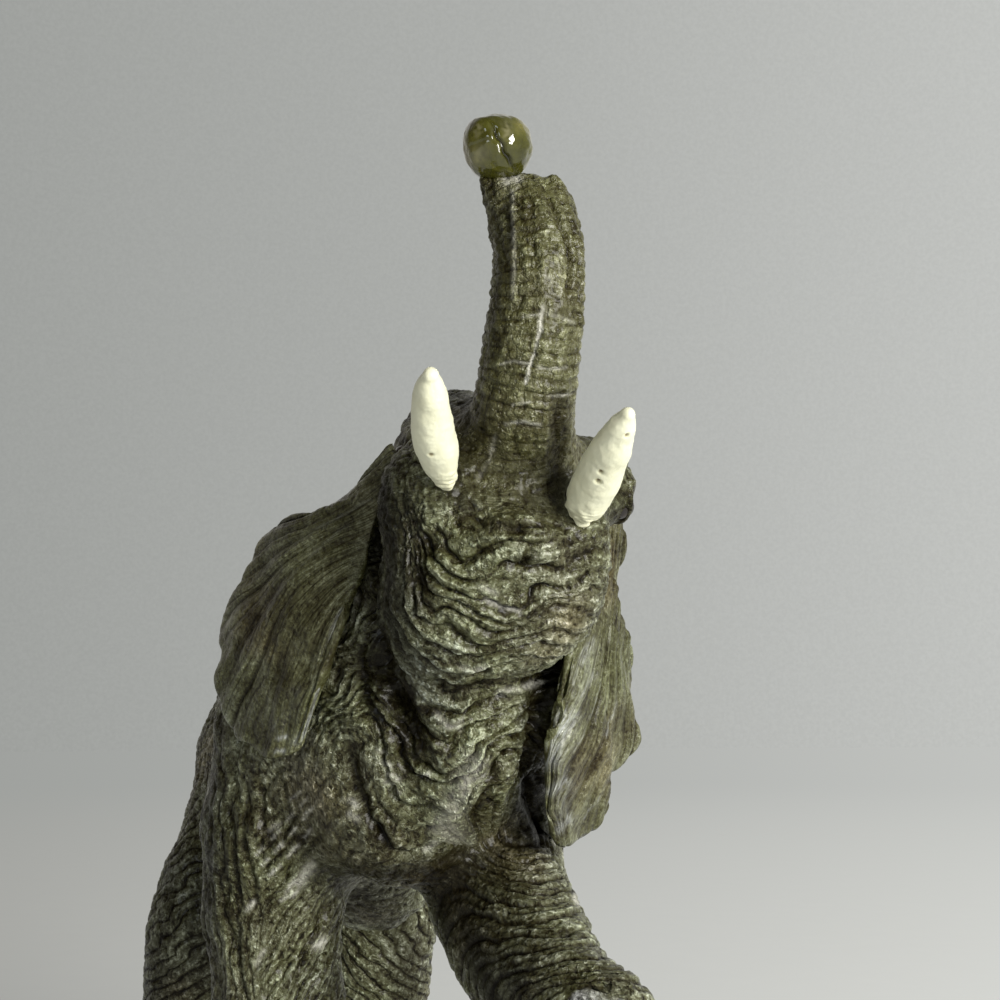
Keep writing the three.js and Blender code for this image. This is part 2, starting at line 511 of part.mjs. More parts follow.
place(neck, 'tusk_left', tuskLeft, TUSK_LEFT[0].slice(0, 3), resin(0xe6e6d2, 0.55));
place(neck, 'eye_right', eyeRight, eyeAt(EYE_RIGHT), resin(0x14100c, 0.12));
place(neck, 'eye_left', eyeLeft, eyeAt(EYE_LEFT), resin(0x14100c, 0.12));
const raised = joint(neck, J.trunk.at);
place(raised, 'trunk', trunk, J.trunk.at, resin(0x4d4c3b, 0.5));
place(raised, 'trunk_tip_bead', bead, BEAD_CENTRE, resin(0x5a6226, 0.08));

// Origin to the centre of the footprint box.
const middle = new THREE.Box3().setFromObject(part).getCenter(new THREE.Vector3());
part.position.set(-middle.x, -middle.y, 0);

export default part;
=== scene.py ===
"""Looks of a cast-resin elephant figure: hide, ears, tusks, bead, nails and light.

The hide is one smooth body field (chains of spheres and ellipsoids, the same
stations as the castings) that is skinned, refined, wrinkled by vertex moves
and then cut at the joint planes, so each casting gets its own fine shell.
Lengths are in millimetres in the figure's own frame until put() turns them
into the row frame's metres.
"""
import math

import bpy
import numpy as np
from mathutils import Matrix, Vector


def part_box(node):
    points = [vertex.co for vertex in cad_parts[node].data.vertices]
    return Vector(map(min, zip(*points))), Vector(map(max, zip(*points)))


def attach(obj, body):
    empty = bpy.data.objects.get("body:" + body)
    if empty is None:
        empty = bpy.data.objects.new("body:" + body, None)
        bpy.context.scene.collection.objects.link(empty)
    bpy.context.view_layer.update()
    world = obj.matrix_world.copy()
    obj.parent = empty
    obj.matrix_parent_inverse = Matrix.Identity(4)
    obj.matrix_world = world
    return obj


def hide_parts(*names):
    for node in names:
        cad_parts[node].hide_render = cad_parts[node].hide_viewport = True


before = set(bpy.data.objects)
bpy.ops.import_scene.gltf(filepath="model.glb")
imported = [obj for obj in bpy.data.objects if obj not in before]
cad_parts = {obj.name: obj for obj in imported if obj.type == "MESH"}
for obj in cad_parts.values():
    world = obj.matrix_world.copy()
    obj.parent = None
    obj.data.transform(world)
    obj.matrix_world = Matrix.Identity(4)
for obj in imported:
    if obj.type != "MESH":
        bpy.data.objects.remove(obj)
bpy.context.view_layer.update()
FINE = 1

# ------------------------------------------------------------------ stations
HEAD_AXES = np.array([
    [0.9721, -0.1366, -0.1908],
    [0.0632, -0.6306, 0.7735],
    [0.2260, 0.7640, 0.6044],
])
I3 = np.eye(3)
BEAD_CENTRE = np.array([-1.79, -74.29, 173.32])
BEAD_R = 5.2

_lo, _hi = [np.array(v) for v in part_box("trunk_tip_bead")]
SHIFT = BEAD_CENTRE - (_lo + _hi) * 500.0
SHIFT[2] = 0.0


def put(p):
    return (np.asarray(p, float) - SHIFT) * 0.001


def spline(points, steps):
    a = np.array(points, float)
    out = []
    n = len(a)
    for i in range(n - 1):
        p0, p1, p2, p3 = a[max(i - 1, 0)], a[i], a[i + 1], a[min(i + 2, n - 1)]
        for j in range(steps):
            t = j / steps
            out.append(0.5 * (2 * p1 + (p2 - p0) * t + (2 * p0 - 5 * p1 + 4 * p2 - p3) * t * t
                              + (3 * p1 - p0 - 3 * p2 + p3) * t ** 3))
    out.append(a[-1])
    return np.array(out)


BODY = []


def chain(group, pts, k, narrow=1.0, steps=3):
    BODY.append(dict(kind="C", group=group, pts=spline(pts, steps), k=k, narrow=narrow))


def mass(group, at, r, k, axes=I3):
    BODY.append(dict(kind="E", group=group, at=np.array(at, float), r=np.array(r, float), k=k, axes=axes))


chain("torso", [[0, -10, 87, 26], [0, 8, 89, 29.5], [2.5, 30, 86.5, 30.5], [5.5, 52, 84.5, 30.5],
                [7.5, 70, 86, 28], [9, 82, 87, 24]], 6, 1.27)
chain("torso", [[0, -4, 114, 6], [1, 12, 117, 4], [4, 42, 114.5, 4], [7, 68, 115, 4.5],
                [8, 86, 109, 5], [8, 97, 98, 6]], 9)
mass("chest", [1, -25, 83], [17.5, 14, 22], 9)
mass("fr", [-17, -2, 82], [13, 17, 25], 9)
mass("fl", [18, -6, 84], [12, 17, 24], 9)
mass("torso", [-8.5, 71, 75], [14, 19, 25], 9)
mass("torso", [20, 74, 80], [13, 19, 27], 9)
mass("torso", [10, 36, 60], [14, 17, 14], 7)
LEG_FR = [[-17.5, 0, 68, 14], [-17, 2, 48, 12.4], [-16, 0, 30, 11.5], [-15.5, -1, 14, 11.6], [-15.5, -2, 4, 13]]
LEG_HR = [[-11, 70, 64, 14], [-18.3, 68, 46, 13.6], [-19.8, 72, 29, 12.6], [-19.5, 75, 14, 12], [-19.5, 73, 4, 13]]
LEG_HL = [[18.5, 69, 60, 17], [20.2, 68, 46, 14.4], [20.6, 73, 29, 13.2], [20, 75, 14, 12.4], [20, 73, 4, 13]]
LEG_FL = [[18.2, -15.27, 72.6, 13.4], [16.9, -22.21, 64.38, 11.9], [16.8, -29.29, 57.37, 11.4],
          [16.85, -40.1, 51.2, 10.4], [16.69, -52.0, 47.2, 9.2], [18.0, -61, 43.2, 10.5]]
LEG_FL_INNER = [[13.59, -22.76, 58.13, 9], [14.86, -33.77, 50.39, 9], [16.28, -46.27, 44.75, 8.5]]
NECK = [[0, -6, 96, 26], [1, -24, 101, 22], [3, -38, 109, 18.5]]
TRUNK = [[10.04, -52.08, 124.67, 9.2], [7.05, -60.43, 129.54, 8.4], [4.66, -68.02, 134.94, 7.9],
         [4.23, -71.7, 141.76, 7.6], [4.41, -73.77, 150.45, 7.1], [4.54, -74.35, 156.78, 6.8],
         [4.15, -73.9, 161.54, 6.5], [3.2, -72.9, 164.5, 5.5]]
chain("fr", LEG_FR, 5)
chain("hr", LEG_HR, 5)
chain("hl", LEG_HL, 5)
chain("fl", LEG_FL, 5)
chain("neck", NECK, 8)
mass("head", [5.43, -36.1, 117.19], [17, 19, 18], 6, HEAD_AXES)
mass("head", [4.41, -53.07, 124.13], [14, 16, 15], 6, HEAD_AXES)
mass("jaw", [0.61, -57.46, 107.93], [14.5, 17, 11], 6, HEAD_AXES)
mass("jaw", [2.49, -70.98, 113.57], [6.5, 5.5, 3.4], 3, HEAD_AXES)
mass("head", [-8.52, -58.24, 122.26], [6.5, 9, 7.5], 6, HEAD_AXES)
mass("head", [13.84, -61.38, 117.88], [6.5, 9, 7.5], 6, HEAD_AXES)
mass("head", [-0.5, -45.34, 134.22], [7.0, 8, 8], 8)
mass("head", [21.9, -52.68, 127.2], [7.0, 7.6, 7.8], 8)
mass("neck", [16, -26, 92], [11, 13, 20], 7)
mass("neck", [19.5, -40.5, 99], [5, 7, 12], 4)
mass("neck", [4.82, -38.71, 88.57], [14, 12, 14], 8)
mass("jaw", [11.47, -59.56, 108.39], [9.4, 12, 9.4], 5, HEAD_AXES)
chain("fl", LEG_FL_INNER, 4)
chain("trunk", TRUNK, 4)
chain("tip", [[6.02, -76.8, 168.1, 1.1], [7.3, -76.5, 165.6, 1.9], [8.5, -75.9, 161.8, 2.2], [9.3, -75.5, 158.0, 2.1],
              [9.8, -75.2, 153.0, 1.5]], 0.9)
chain("tip", [[-2.9, -72.6, 168.2, 1.4], [-1.3, -72.5, 165.6, 1.9], [0.2, -72.3, 161.5, 2.4]], 2.4)
chain("tip", [[-0.6, -73.6, 166.0, 2.3], [1.6, -74.0, 166.0, 2.4], [3.6, -74.8, 165.8, 2.0]], 2.0)

GROUPS = ["torso", "chest", "neck", "head", "jaw", "trunk", "fr", "fl", "hr", "hl"]

JOINTS = {
    "leg_front_right": dict(at=[-21, -1, 56], out=[0, 0, -1], side=[18, 22], reach=62),
    "leg_hind_right": dict(at=[-20.15, 74, 53], out=[0, 0, -1], side=[20, 24], reach=60),
    "leg_hind_left": dict(at=[20.15, 74, 53], out=[0, 0, -1], side=[20, 24], reach=60),
    "leg_front_left": dict(at=[17.9, -23.62, 63.48], out=[-0.0846, -0.7497, -0.6563], side=[15, 19], reach=75),
    "head": dict(at=[1.5, -29, 104], out=[0.0865, -0.923, 0.375], side=[34, 36], reach=80),
    "trunk": dict(at=[4.65, -68.06, 135.23], out=[-0.0615, -0.4793, 0.8755], side=[18, 18], reach=60),
}


def block(name, X):
    """Signed distance to the block beyond a joint plane, negative inside."""
    j = JOINTS[name]
    out = np.array(j["out"], float)
    out /= np.linalg.norm(out)
    side = np.array([1.0, 0, 0]) if abs(out[0]) < 0.9 else np.array([0, 1.0, 0])
    side -= side @ out * out
    side /= np.linalg.norm(side)
    other = np.cross(out, side)
    q = X - np.array(j["at"], float)
    a, b, c = q @ side, q @ other, q @ out
    return np.maximum.reduce([np.abs(a) - j["side"][0], np.abs(b) - j["side"][1], -c, c - j["reach"]])


# --------------------------------------------------------------------- field
def hull_of(m):
    """A sphere round a primitive, for skipping the points far from it."""
    if m["kind"] == "E":
        return m["at"], float(m["r"].max())
    c = (m["pts"][:, :3].min(0) + m["pts"][:, :3].max(0)) / 2
    return c, float((np.linalg.norm(m["pts"][:, :3] - c, axis=1) + m["pts"][:, 3]).max() * max(1.0, m["narrow"]))


def prim(m, X):
    if "hull" not in m:
        m["hull"] = hull_of(m)
    c, r = m["hull"]
    far = np.linalg.norm(X - c, axis=1) - r
    near = far < 13.0
    if near.all():
        return prim_near(m, X)
    if near.any():
        far[near] = prim_near(m, X[near])
    return far


def prim_near(m, X):
    if m["kind"] == "E":
        q = (X - m["at"]) @ m["axes"].T
        a = np.sqrt(((q / m["r"]) ** 2).sum(1))
        b = np.sqrt(((q / m["r"] ** 2) ** 2).sum(1))
        return a * (a - 1) / np.maximum(b, 1e-9)
    s = m["narrow"]
    S = np.array([s, 1, 1.0])
    P = m["pts"]
    x = X * S
    best = None
    for i in range(len(P) - 1):
        A, B = P[i, :3] * S, P[i + 1, :3] * S
        u = B - A
        v = x - A
        h = np.clip(v @ u / (u @ u), 0, 1)
        w = v - h[:, None] * u
        d = np.sqrt(np.einsum("ij,ij->i", w, w)) - (P[i, 3] + (P[i + 1, 3] - P[i, 3]) * h)
        best = d if best is None else np.minimum(best, d)
    return best / (1 + (s - 1) * 0.5)


def active(lo, hi):
    c = (np.array(lo, float) + hi) / 2
    r = np.linalg.norm(np.array(hi, float) - lo) / 2
    return [m for m in BODY if prim(m, c[None])[0] < r + 2 * m["k"] + 4]


def field(X, prims=None):
    d = None
    for m in prims or BODY:
        e = prim(m, X)
        if d is None:
            d = e
            continue
        h = np.clip(0.5 + 0.5 * (e - d) / m["k"], 0, 1)
        d = e * (1 - h) + d * h - m["k"] * h * (1 - h)
    return np.maximum(d, -X[:, 2])


# --------------------------------------------------------------------- noise
_rng = np.random.RandomState(11)
_perm = _rng.permutation(256)
_perm = np.concatenate([_perm, _perm, _perm])
_grad = _rng.normal(size=(256, 3))
_grad /= np.linalg.norm(_grad, axis=1)[:, None]


def noise(p):
    p = np.asarray(p, float)
    i = np.floor(p).astype(np.int64)
    f = p - i
    i &= 255
    w = f * f * f * (f * (f * 6 - 15) + 10)
    total = 0
    for dx in (0, 1):
        wx = w[:, 0] if dx else 1 - w[:, 0]
        hx = _perm[i[:, 0] + dx]
        for dy in (0, 1):
            wy = w[:, 1] if dy else 1 - w[:, 1]
            hy = _perm[hx + i[:, 1] + dy]
            for dz in (0, 1):
                wz = w[:, 2] if dz else 1 - w[:, 2]
                g = _grad[_perm[hy + i[:, 2] + dz]]
                dot = g[:, 0] * (f[:, 0] - dx) + g[:, 1] * (f[:, 1] - dy) + g[:, 2] * (f[:, 2] - dz)
                total = total + wx * wy * wz * dot
    return total * 1.5


def cells(p):
    """Distance gap between the two nearest seeds: 0 on the cracks between plates."""
    i = np.floor(p).astype(np.int64)
    f = p - i
    d1 = np.full(len(p), 9.0)
    d2 = np.full(len(p), 9.0)
    for dx in (-1, 0, 1):
        for dy in (-1, 0, 1):
            for dz in (-1, 0, 1):
                h = _perm[_perm[_perm[(i[:, 0] + dx) & 255] + ((i[:, 1] + dy) & 255)] + ((i[:, 2] + dz) & 255)]
                g = _grad[h] * 0.42 + 0.5
                d = np.sqrt(((g + np.array([dx, dy, dz]) - f) ** 2).sum(1))
                m = d < d1
                d2 = np.where(m, d1, np.minimum(d2, d))
                d1 = np.where(m, d, d1)
    return d2 - d1


def fold(w, sharp=0.7):
    """Rounded ridges with narrow valleys, one per unit of w, 0 in the valley."""
    return np.abs(np.sin(np.pi * w)) ** sharp


def sag(w, sharp=0.55, lean=0.5):
    """Folds that bulge towards the next valley, as slack skin hangs."""
    p = w - np.floor(w)
    q = np.where(p < 0.5 + 0.28 * lean, 0.5 * p / (0.5 + 0.28 * lean), 0.5 + 0.5 * (p - 0.5 - 0.28 * lean) / (0.5 - 0.28 * lean))
    return np.abs(np.sin(np.pi * q)) ** sharp


# --------------------------------------------------------- chain coordinates
def along(pts, X, front):
    """Length along a chain, angle round it from the front direction, and radius."""
    P = spline(pts, 4)[:, :3]
    L = np.concatenate([[0], np.cumsum(np.linalg.norm(np.diff(P, axis=0), axis=1))])
    best = np.full(len(X), 1e9)
    u = np.zeros(len(X))
    ang = np.zeros(len(X))
    front = np.array(front, float)
    for i in range(len(P) - 1):
        A, B = P[i], P[i + 1]
        t = B - A
        n = np.linalg.norm(t)
        t = t / n
        lo = 0.0 if i else -60.0
        hi = n if i < len(P) - 2 else n + 60.0
        v = X - A
        h = np.clip(v @ t, lo, hi)
        w = v - h[:, None] * t
        d = np.sqrt((w ** 2).sum(1))
        m = d < best
        e1 = front - front @ t * t
        e1 /= np.linalg.norm(e1)
        e2 = np.cross(t, e1)
        best[m] = d[m]
        u[m] = (L[i] + h)[m]
        ang[m] = np.arctan2(w @ e2, w @ e1)[m]
    return u, ang, best


# ------------------------------------------------------------ meshes in numpy
def nets(fn, lo, hi, h):
    lo, hi = np.array(lo, float), np.array(hi, float)
    n = np.ceil((hi - lo) / h).astype(int) + 1
    ax = [lo[i] + h * np.arange(n[i]) for i in range(3)]
    G = np.stack(np.meshgrid(*ax, indexing="ij"), -1).reshape(-1, 3)
    V = np.concatenate([fn(G[i:i + 200000]) for i in range(0, len(G), 200000)]).reshape(n)
    S = V < 0
    cnt = sum(S[i:n[0] - 1 + i, j:n[1] - 1 + j, k:n[2] - 1 + k].astype(int)
              for i in (0, 1) for j in (0, 1) for k in (0, 1))
    act = (cnt > 0) & (cnt < 8)
    idx = -np.ones(act.shape, int)
    ii = np.argwhere(act)
    idx[act] = np.arange(len(ii))
    acc = np.zeros((len(ii), 3))
    num = np.zeros(len(ii))
    corners = [(i, j, k) for i in (0, 1) for j in (0, 1) for k in (0, 1)]
    for a in corners:
        for b in corners:
            if sum(abs(x - y) for x, y in zip(a, b)) == 1 and a < b:
                va, vb = V[tuple((ii + a).T)], V[tuple((ii + b).T)]
                m = (va < 0) != (vb < 0)
                t = np.where(m, va / np.where(m, va - vb, 1), 0)
                acc += (np.array(a) + t[:, None] * (np.array(b) - np.array(a))) * m[:, None]
                num += m
    verts = lo + h * (ii + acc / num[:, None])
    quads = []
    for d in range(3):
        s0, s1 = [slice(None)] * 3, [slice(None)] * 3
        s0[d], s1[d] = slice(0, -1), slice(1, None)
        e = np.argwhere(S[tuple(s0)] != S[tuple(s1)])
        u, v = (d + 1) % 3, (d + 2) % 3
        e = e[(e[:, u] > 0) & (e[:, v] > 0) & (e[:, u] < n[u] - 1) & (e[:, v] < n[v] - 1)]

        def cell(du, dv):
            q = e.copy()
            q[:, u] -= du
            q[:, v] -= dv
            return idx[tuple(q.T)]
        q = np.stack([cell(1, 1), cell(0, 1), cell(0, 0), cell(1, 0)], 1)
        flip = ~S[tuple(e.T)]
        q[flip] = q[flip][:, ::-1]
        quads.append(q)
    return verts, np.concatenate(quads)


def normals(V, Q):
    a = V[Q[:, 2]] - V[Q[:, 0]]
    b = V[Q[:, 3]] - V[Q[:, 1]]
    f = np.cross(a, b)
    N = np.zeros_like(V)
    for c in range(4):
        for x in range(3):
            N[:, x] += np.bincount(Q[:, c], f[:, x], len(V))
    return N / np.maximum(np.linalg.norm(N, axis=1), 1e-12)[:, None]


def relax(V, Q, times=1):
    e = np.concatenate([Q[:, [0, 1]], Q[:, [1, 2]], Q[:, [2, 3]], Q[:, [3, 0]]])
    for _ in range(times):
        s = np.zeros_like(V)
        c = np.bincount(e.ravel(), minlength=len(V))
        for x in range(3):
            s[:, x] = np.bincount(e[:, 0], V[e[:, 1], x], len(V)) + np.bincount(e[:, 1], V[e[:, 0], x], len(V))
        V = V * 0.4 + 0.6 * s / np.maximum(c, 1)[:, None]
    return V


def refine(V, Q):
    n = len(V)
    e = np.sort(np.concatenate([Q[:, [0, 1]], Q[:, [1, 2]], Q[:, [2, 3]], Q[:, [3, 0]]]), 1)
    key = e[:, 0] * n + e[:, 1]
    uniq, inv = np.unique(key, return_inverse=True)
    mid = (V[uniq // n] + V[uniq % n]) / 2
    m = len(Q)
    c = V[Q].mean(1)
    E = [n + inv[i * m:(i + 1) * m] for i in range(4)]
    C = n + len(mid) + np.arange(m)
    Q2 = np.concatenate([
        np.stack([Q[:, 0], E[0], C, E[3]], 1), np.stack([E[0], Q[:, 1], E[1], C], 1),
        np.stack([C, E[1], Q[:, 2], E[2]], 1), np.stack([E[3], C, E[2], Q[:, 3]], 1)])
    return np.concatenate([V, mid, c]), Q2


def skin(lo, hi, pitch, levels):
    prims = active(lo, hi)
    fn = lambda X: field(X, prims)
    V, Q = nets(fn, lo, hi, pitch)
    for level in range(levels + 1):
        if level:
            V, Q = refine(V, Q)
            V = relax(V, Q, 1)
        for _ in range(2):
            N = normals(V, Q)
            V = V - N * np.clip(fn(V), -0.8, 0.8)[:, None]
    return V, Q, normals(V, Q)


def clip(V, A, Q, T, s):
    """Keeps what has s > 0. V points, A attributes per point, quads and triangles."""
    pos = s[Q] > 0
    whole = pos.all(1)
    part = Q[pos.any(1) & ~whole]
    T = np.concatenate([T, part[:, [0, 1, 2]], part[:, [0, 2, 3]]])
    Q = Q[whole]
    pos = s[T] > 0
    cnt = pos.sum(1)
    keep = [T[cnt == 3]]
    n = len(V)
    new = []

    def cutpoint(a, b):
        lo, hi = np.minimum(a, b), np.maximum(a, b)
        new.append(lo * n + hi)
        return len(new) - 1
    jobs = []
    for want in (1, 2):
        sel = cnt == want
        t, p = T[sel], pos[sel]
        if not len(t):
            continue
        k = p.argmax(1) if want == 1 else (~p).argmax(1)
        r = np.arange(len(t))
        a, b, c = t[r, k], t[r, (k + 1) % 3], t[r, (k + 2) % 3]
        jobs.append((want, a, b, c, cutpoint(a, b), cutpoint(a, c)))
    if new:
        keys = np.concatenate(new)
        uniq, inv = np.unique(keys, return_inverse=True)
        lo, hi = uniq // n, uniq % n
        t = (s[lo] / (s[lo] - s[hi]))[:, None]
        V = np.concatenate([V, V[lo] * (1 - t) + V[hi] * t])
        A = {k: np.concatenate([v, v[lo] * (1 - t.reshape([-1] + [1] * (v.ndim - 1)))
                                + v[hi] * t.reshape([-1] + [1] * (v.ndim - 1))]) for k, v in A.items()}
        starts = np.cumsum([0] + [len(x) for x in new])
        get = lambda i: n + inv[starts[i]:starts[i + 1]]
        for want, a, b, c, i, j in jobs:
            if want == 1:
                keep.append(np.stack([a, get(i), get(j)], 1))
            else:
                keep.append(np.stack([get(i), b, c], 1))
                keep.append(np.stack([get(i), c, get(j)], 1))
    T = np.concatenate(keep)
    used = np.zeros(len(V), bool)
    used[Q.ravel()] = True
    used[T.ravel()] = True
    back = np.cumsum(used) - 1
    return V[used], {k: v[used] for k, v in A.items()}, back[Q], back[T]


def rims(Q, T):
    """Open loops of a mesh, each an ordered list of its points."""
    e = np.concatenate([Q[:, [0, 1]], Q[:, [1, 2]], Q[:, [2, 3]], Q[:, [3, 0]],
                        T[:, [0, 1]], T[:, [1, 2]], T[:, [2, 0]]])
    n = e.max() + 1
    key = e[:, 0] * n + e[:, 1]
    open_ = e[~np.isin(key, e[:, 1] * n + e[:, 0])]
    nxt = {int(b): int(a) for a, b in open_}
    loops = []
    while nxt:
        start, cur = next(iter(nxt.items()))
        loop = [start]
        nxt.pop(start)
        while cur in nxt:
            loop.append(cur)
            cur = nxt.pop(cur)
        loops.append(loop)
    return loops


def without_crumbs(V, A, Q, T):
    """Drops the specks that a cut leaves beside a piece."""
    gone = np.zeros(len(V), bool)
    for loop in rims(Q, T):
        if len(loop) > 60:
            continue
        spot = np.zeros(len(V), bool)
        spot[loop] = True
        size = 0
        while size < spot.sum() < 400:
            size = spot.sum()
            spot[Q[spot[Q].any(1)].ravel()] = True
            spot[T[spot[T].any(1)].ravel()] = True
        if spot.sum() < 400:
            gone |= spot
    if not gone.any():
        return V, A, Q, T
    used = ~gone
    back = np.cumsum(used) - 1
    Q, T = Q[used[Q].all(1)], T[used[T].all(1)]
    return V[used], {k: v[used] for k, v in A.items()}, back[Q], back[T]


def build(name, V, faces, attrs, N=None, caps=()):
    """A Blender mesh from point, face and attribute arrays; caps close the open loops."""
    V = np.asarray(V, float)
    cap_pts, cap_tris, cap_n = [], [], []
    for loop in caps:
        if len(loop) < 6:
            continue
        ring = V[loop]
        c = ring.mean(0)
        nrm = np.cross(ring - c, np.roll(ring, -1, 0) - c).sum(0)
        nrm /= max(np.linalg.norm(nrm), 1e-9)
        ci = len(V) + len(cap_pts)
        cap_pts.append(c)
        for i in range(len(loop)):
            cap_tris.append([loop[i], loop[(i + 1) % len(loop)], ci])
            cap_n.append(nrm)
    ends = len(V)
    if cap_pts:
        V = np.concatenate([V, cap_pts])
        attrs = {k: np.concatenate([v, np.full(len(cap_pts), v.mean())]) for k, v in attrs.items()}
    blocks = [f for f in faces if len(f)]
    if cap_tris:
        blocks.append(np.array(cap_tris))
    loops = np.concatenate([b.ravel() for b in blocks]).astype(np.int32)
    sizes = np.concatenate([np.full(len(b), b.shape[1]) for b in blocks]).astype(np.int32)
    starts = np.concatenate([[0], np.cumsum(sizes)[:-1]]).astype(np.int32)
    me = bpy.data.meshes.new(name)
    me.vertices.add(len(V))
    me.vertices.foreach_set("co", put(V).astype(np.float32).ravel())
    me.loops.add(len(loops))
    me.loops.foreach_set("vertex_index", loops)
    me.polygons.add(len(sizes))
    me.polygons.foreach_set("loop_start", starts)
    me.polygons.foreach_set("use_smooth", np.ones(len(sizes), bool))
    me.update(calc_edges=True)
    for k, v in attrs.items():
        a = me.attributes.new(k, "FLOAT", "POINT")
        a.data.foreach_set("value", np.asarray(v, np.float32))
    if N is not None:
        if cap_pts:
            N = np.concatenate([N, np.zeros((len(cap_pts), 3))])
        ln = N[loops]
        if cap_tris:
            ln[len(loops) - 3 * len(cap_tris):] = np.repeat(np.array(cap_n), 3, 0)
        me.normals_split_custom_set(ln.astype(np.float32).tolist())
    me.validate()
    ob = bpy.data.objects.new(name, me)
    bpy.context.scene.collection.objects.link(ob)
    return ob


# --------------------------------------------- picture frame of the viewpoint
VIEW_POINT = np.array([-71.994, -268.043, 87.272])
RIGHT = np.array([0.93969, -0.34202, 0.0])
UP = np.array([-0.05350, -0.14700, 0.98769])
FWD = np.array([0.33781, 0.92813, 0.15643])
FOCAL = 1452.1054


def ray(px, py, depth):
    return VIEW_POINT + FWD * depth + RIGHT * ((px - 500) / FOCAL * depth) + UP * ((500 - py) / FOCAL * depth)


def picture(X):
    """Where points show in the 1000 x 1000 picture."""
    q = X - VIEW_POINT
    d = q @ FWD
    return np.stack([500 + FOCAL * (q @ RIGHT) / d, 500 - FOCAL * (q @ UP) / d], 1)


def to_line(X, P, place=False):
    """Distance to a polyline, and if asked how far along it, 0 to 1."""
    best = np.full(len(X), 1e9)
    at = np.zeros(len(X))
    n = len(P) - 1
    for i, (a, b) in enumerate(zip(P[:-1], P[1:])):
        u = b - a
        v = X - a
        h = np.clip(v @ u / max(u @ u, 1e-9), 0, 1)
        w = v - h[:, None] * u
        d = np.sqrt((w ** 2).sum(1))
        m = d < best
        best[m] = d[m]
        at[m] = ((i + h) / n)[m]
    return (best, at) if place else best


def on_skin_all(points, near=180.0, far=330.0, step=1.5):
    """Where the rays through many picture places first meet the body, all at once, with the last step halved down."""
    pts = np.array(points, float)
    D = np.arange(near, far, step)
    X = ray(pts[:, None, 0:1], pts[:, None, 1:2], D[None, :, None])
    v = field(X.reshape(-1, 3)).reshape(len(pts), len(D))
    hit = (v < 0).any(1)
    first = (v < 0).argmax(1)
    hi = D[first]
    lo = hi - step
    for _ in range(7):
        mid = (lo + hi) / 2
        inside = field(ray(pts[:, 0:1], pts[:, 1:2], mid[:, None])) < 0
        hi = np.where(inside, mid, hi)
        lo = np.where(inside, lo, mid)
    return ray(pts[:, 0:1], pts[:, 1:2], hi[:, None]), hit


def every(poly, gap):
    p = np.array(poly, float)
    d = np.concatenate([[0], np.cumsum(np.linalg.norm(np.diff(p, axis=0), axis=1))])
    n = max(2, int(round(d[-1] / gap)) + 1)
    t = np.linspace(0, d[-1], n)
    return np.stack([np.interp(t, d, p[:, i]) for i in range(p.shape[1])], 1)


class Phase:
    """A smooth count of folds through space: whole numbers run along the given valleys."""

    def __init__(self, valleys, far=(), gap=14.0, ease=0.4):
        pts, vals = [], []
        for value, poly in valleys:
            q = every(poly, gap)
            pts.append(q)
            vals += [value] * len(q)
        X, hit = on_skin_all(np.concatenate(pts))
        P = X[hit]
        v = np.array(vals, float)[hit]
        if len(far):
            P = np.concatenate([P, np.array([p for _, p in far], float)])
            v = np.concatenate([v, [a for a, _ in far]])
        self.P = P
        n = len(P)
        K = np.linalg.norm(P[:, None] - P[None], axis=2)
        K[np.arange(n), np.arange(n)] -= ease
        L = np.concatenate([P * 0.02, np.ones((n, 1))], 1)
        A = np.block([[K, L], [L.T, np.zeros((4, 4))]])
        s = np.linalg.lstsq(A, np.concatenate([v, np.zeros(4)]), rcond=None)[0]
        self.w, self.c = s[:n], s[n:]

    def __call__(self, X):
        out = np.empty(len(X))
        for i in range(0, len(X), 20000):
            x = X[i:i + 20000]
            r2 = (x ** 2).sum(1)[:, None] + (self.P ** 2).sum(1)[None] - 2 * x @ self.P.T
            out[i:i + 20000] = np.sqrt(np.maximum(r2, 0)) @ self.w + (x * 0.02) @ self.c[:3] + self.c[3]
        return out


